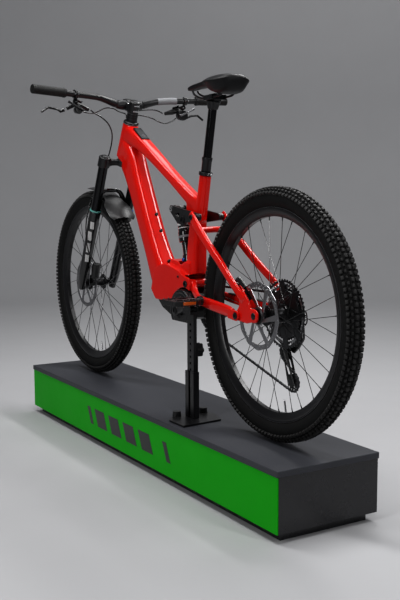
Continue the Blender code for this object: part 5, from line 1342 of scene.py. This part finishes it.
def lines():
    front = [(0.9450, 0.1485, 1.0310), (0.949, 0.130, 1.021), (0.951, 0.104, 1.009), (0.953, 0.077, 0.988),
             (0.967, 0.055, 0.959), (0.988, 0.045, 0.924), (1.030, 0.038, 0.8775), tuple(steer(0.470, 0.062, 0.048)),
             tuple(steer(0.400, 0.078, 0.056)), tuple(steer(0.330, 0.062, 0.080)), tuple(steer(0.260, 0.026, 0.0955)),
             tuple(steer(0.185, -0.010, 0.090)), tuple(steer(0.146, -0.021, 0.068)),
             tuple(steer(0.1225, -0.020, 0.050))]
    rear = [(0.9450, -0.1485, 1.0335), (0.942, -0.135, 1.040), (0.957, -0.115, 1.047), (0.972, -0.080, 1.045),
            (0.972, -0.035, 1.037), *line_end(-0.003, 0.0245)]
    dropper = [(0.922, 0.1955, 1.024), (0.930, 0.170, 1.020), (0.935, 0.140, 1.0205), (0.928, 0.100, 1.0390),
               (0.945, 0.060, 1.042), (0.958, 0.030, 1.034), *line_end(0.012, 0.0220)]
    shift = [(0.912, -0.1885, 1.016), (0.915, -0.178, 1.005), (0.921, -0.150, 0.995), (0.934, -0.130, 1.000),
             (0.953, -0.110, 1.014), (0.975, -0.085, 1.024), (0.984, -0.052, 1.027), (0.968, -0.030, 1.022),
             *line_end(-0.0165, 0.0175)]
    loop = [(0.112, -0.0890, 0.376), (0.080, -0.0940, 0.392), (0.030, -0.094, 0.398), (-0.016, -0.096, 0.382),
            (-0.032, -0.092, 0.352), (-0.026, -0.090, 0.338)]
    across_fork = ("fork_slider", steer(0.520, 0.060, 0.045), steer(0.300, 0.040, 0.085))
    across_stays = ("seatstay", (0.080, -0.094, 0.392), (-0.016, -0.096, 0.382))
    for points, radius, node, blend in (
            (front, 0.0025, "front_brake_hose", across_fork), (rear, 0.0025, "rear_brake_hose_front", None),
            (dropper, 0.0022, "dropper_cable", None), (shift, 0.0022, "shift_cable_front", None),
            (loop, 0.0022, "shift_cable_rear", across_stays)):
        finished(hose(points, radius), node + "_line", GLOSS, BODY[node], [node], blend=blend)


# --- plinth and stand --------------------------------------------------------------------------------

# The plain bars on the panel; the first and the pitch are shares of its length
BAR_WIDTHS = (0.026, 0.080, 0.080, 0.080, 0.080, 0.026)
FIRST_BAR, BAR_PITCH, BAR_SLANT = 0.322, 0.066, 0.030


def plinth():
    for node, look, width in (("plinth_top_board", BOARD, 0.0012), ("plinth_carcass", CARCASS, 0.0012),
                              ("plinth_side_panel", GREEN, 0.0008)):
        kept_node(node, look, width)


    low, high = (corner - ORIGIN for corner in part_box("plinth_side_panel"))
    length, height = high.x - low.x, high.z - low.z
    bottom, top = low.z + 0.30 * height, low.z + 0.70 * height
    bars = []
    for k, width in enumerate(BAR_WIDTHS):
        x = low.x + length * (FIRST_BAR + BAR_PITCH * k)
        outline = [(x, bottom), (x + width, bottom), (x + width + BAR_SLANT, top), (x + BAR_SLANT, top)]
        bars.append(plate([outline], high.y, high.y + 0.0005))
    finished(merged(bars), "panel_motif", SATIN, BODY["plinth_side_panel"])


def stand():
    for node, look in (("stand_base_plate", SATIN), ("stand_outer_post", SATIN), ("stand_inner_bar", SATIN),
                       ("stand_knob", PLASTIC)):
        kept_node(node, look, 0.0007)


# --- stage, lights and camera ------------------------------------------------------------------------

def stage():
    """A round studio floor that curves up into a wall, so no horizon shows."""
    floor_look = surface("pale_floor", (0.44, 0.44, 0.45), (0.42, 0.42, 0.43), 0.60, mottle=3, grain=300, bump=0.01,
                         specular=0.2)
    profile = [(5.0, 0.0)] + [(5.0 + 2.0 * math.sin(math.radians(a)), 2.0 - 2.0 * math.cos(math.radians(a)))
                              for a in range(6, 91, 6)] + [(7.0, 7.0)]
    steps = 96
    bm = bmesh.new()
    rings = []
    for radius, height in profile:
        rings.append([bm.verts.new((*around((0, 0), radius, 2 * math.pi * i / steps), height)) for i in range(steps)])
    bm.faces.new(rings[0])
    quads(bm, rings, closed=True)
    floor = raw("floor", bm)
    floor.data.shade_smooth()
    floor.data.materials.append(floor_look)
    floor.name = "floor"
    world = bpy.data.worlds.new("studio")
    bpy.context.scene.world = world
    world.use_nodes = True
    world.node_tree.nodes["Background"].inputs["Color"].default_value = (0.46, 0.48, 0.50, 1)
    world.node_tree.nodes["Background"].inputs["Strength"].default_value = 0.24


def lamp(name, at, aim, size, power):
    light = bpy.data.lights.new(name, "AREA")
    light.shape = "RECTANGLE"
    light.size, light.size_y = size
    light.energy = power
    made = put(name, light)
    made.location = at
    made.rotation_euler = (Vector(aim) - Vector(at)).to_track_quat("-Z", "Y").to_euler()


CAMERA_AT = Vector((-2.70375, 1.5086, 0.9024))
CAMERA_YAW, CAMERA_DOWN, CAMERA_ROLL = math.radians(31.097), math.radians(6.3785), math.radians(-0.132)
FOCAL_SHARE = 1.47892


def camera():
    data = bpy.data.cameras.new("camera")
    data.sensor_fit = "VERTICAL"
    data.sensor_height = 24
    data.lens = 24 * FOCAL_SHARE
    made = put("camera", data)
    level = math.cos(CAMERA_DOWN)
    forward = Vector((math.cos(CAMERA_YAW) * level, -math.sin(CAMERA_YAW) * level, -math.sin(CAMERA_DOWN)))
    turn = forward.to_track_quat("-Z", "Y").to_matrix().to_4x4()
    made.matrix_world = Matrix.Translation(CAMERA_AT) @ turn @ Matrix.Rotation(CAMERA_ROLL, 4, "Z")
    bpy.context.scene.camera = made
    bpy.context.scene.view_settings.view_transform = "Standard"
    bpy.context.scene.view_settings.look = "Medium High Contrast"


def lights():
    lamp("overhead", (-0.2, 0.6, 3.2), (0, 0, 0.6), (3.2, 0.35), 60)
    lamp("overhead_right", (0.0, -1.8, 3.0), (0, 0, 0.6), (3.0, 0.35), 46)
    lamp("left_strip", (-1.2, 3.0, 1.9), (0, 0, 0.7), (0.25, 2.6), 34)
    lamp("rear_strip", (-3.4, -0.6, 2.4), (-0.2, 0, 0.6), (0.30, 2.4), 28)
    lamp("backdrop", (2.0, -2.5, 5.5), (3.5, -3.5, 1.0), (3.0, 3.0), 90)


camera()
stage()
lights()
wheel("rear", REAR_AXLE, 0.0690, 0.0590, -0.0270, 0.0330)
wheel("front", FRONT_AXLE, 0.0540, 0.0400, -0.0340, 0.0260)
finished(across(REAR_AXLE, -0.0800, 0.0800, 0.0064, 32), "rear_axle", ANODISED, BODY["rear_thru_axle"],
         ["rear_thru_axle"])
cassette()
cranks()
pedals()
chain()
derailleur()
main_frame()
motor()
fittings()
chainstays()
seatstays()
rocker()
shock()
fork()
cockpit()
controls()
sleeve()
seat()
calipers()
lines()
plinth()
stand()

bpy.context.view_layer.update()
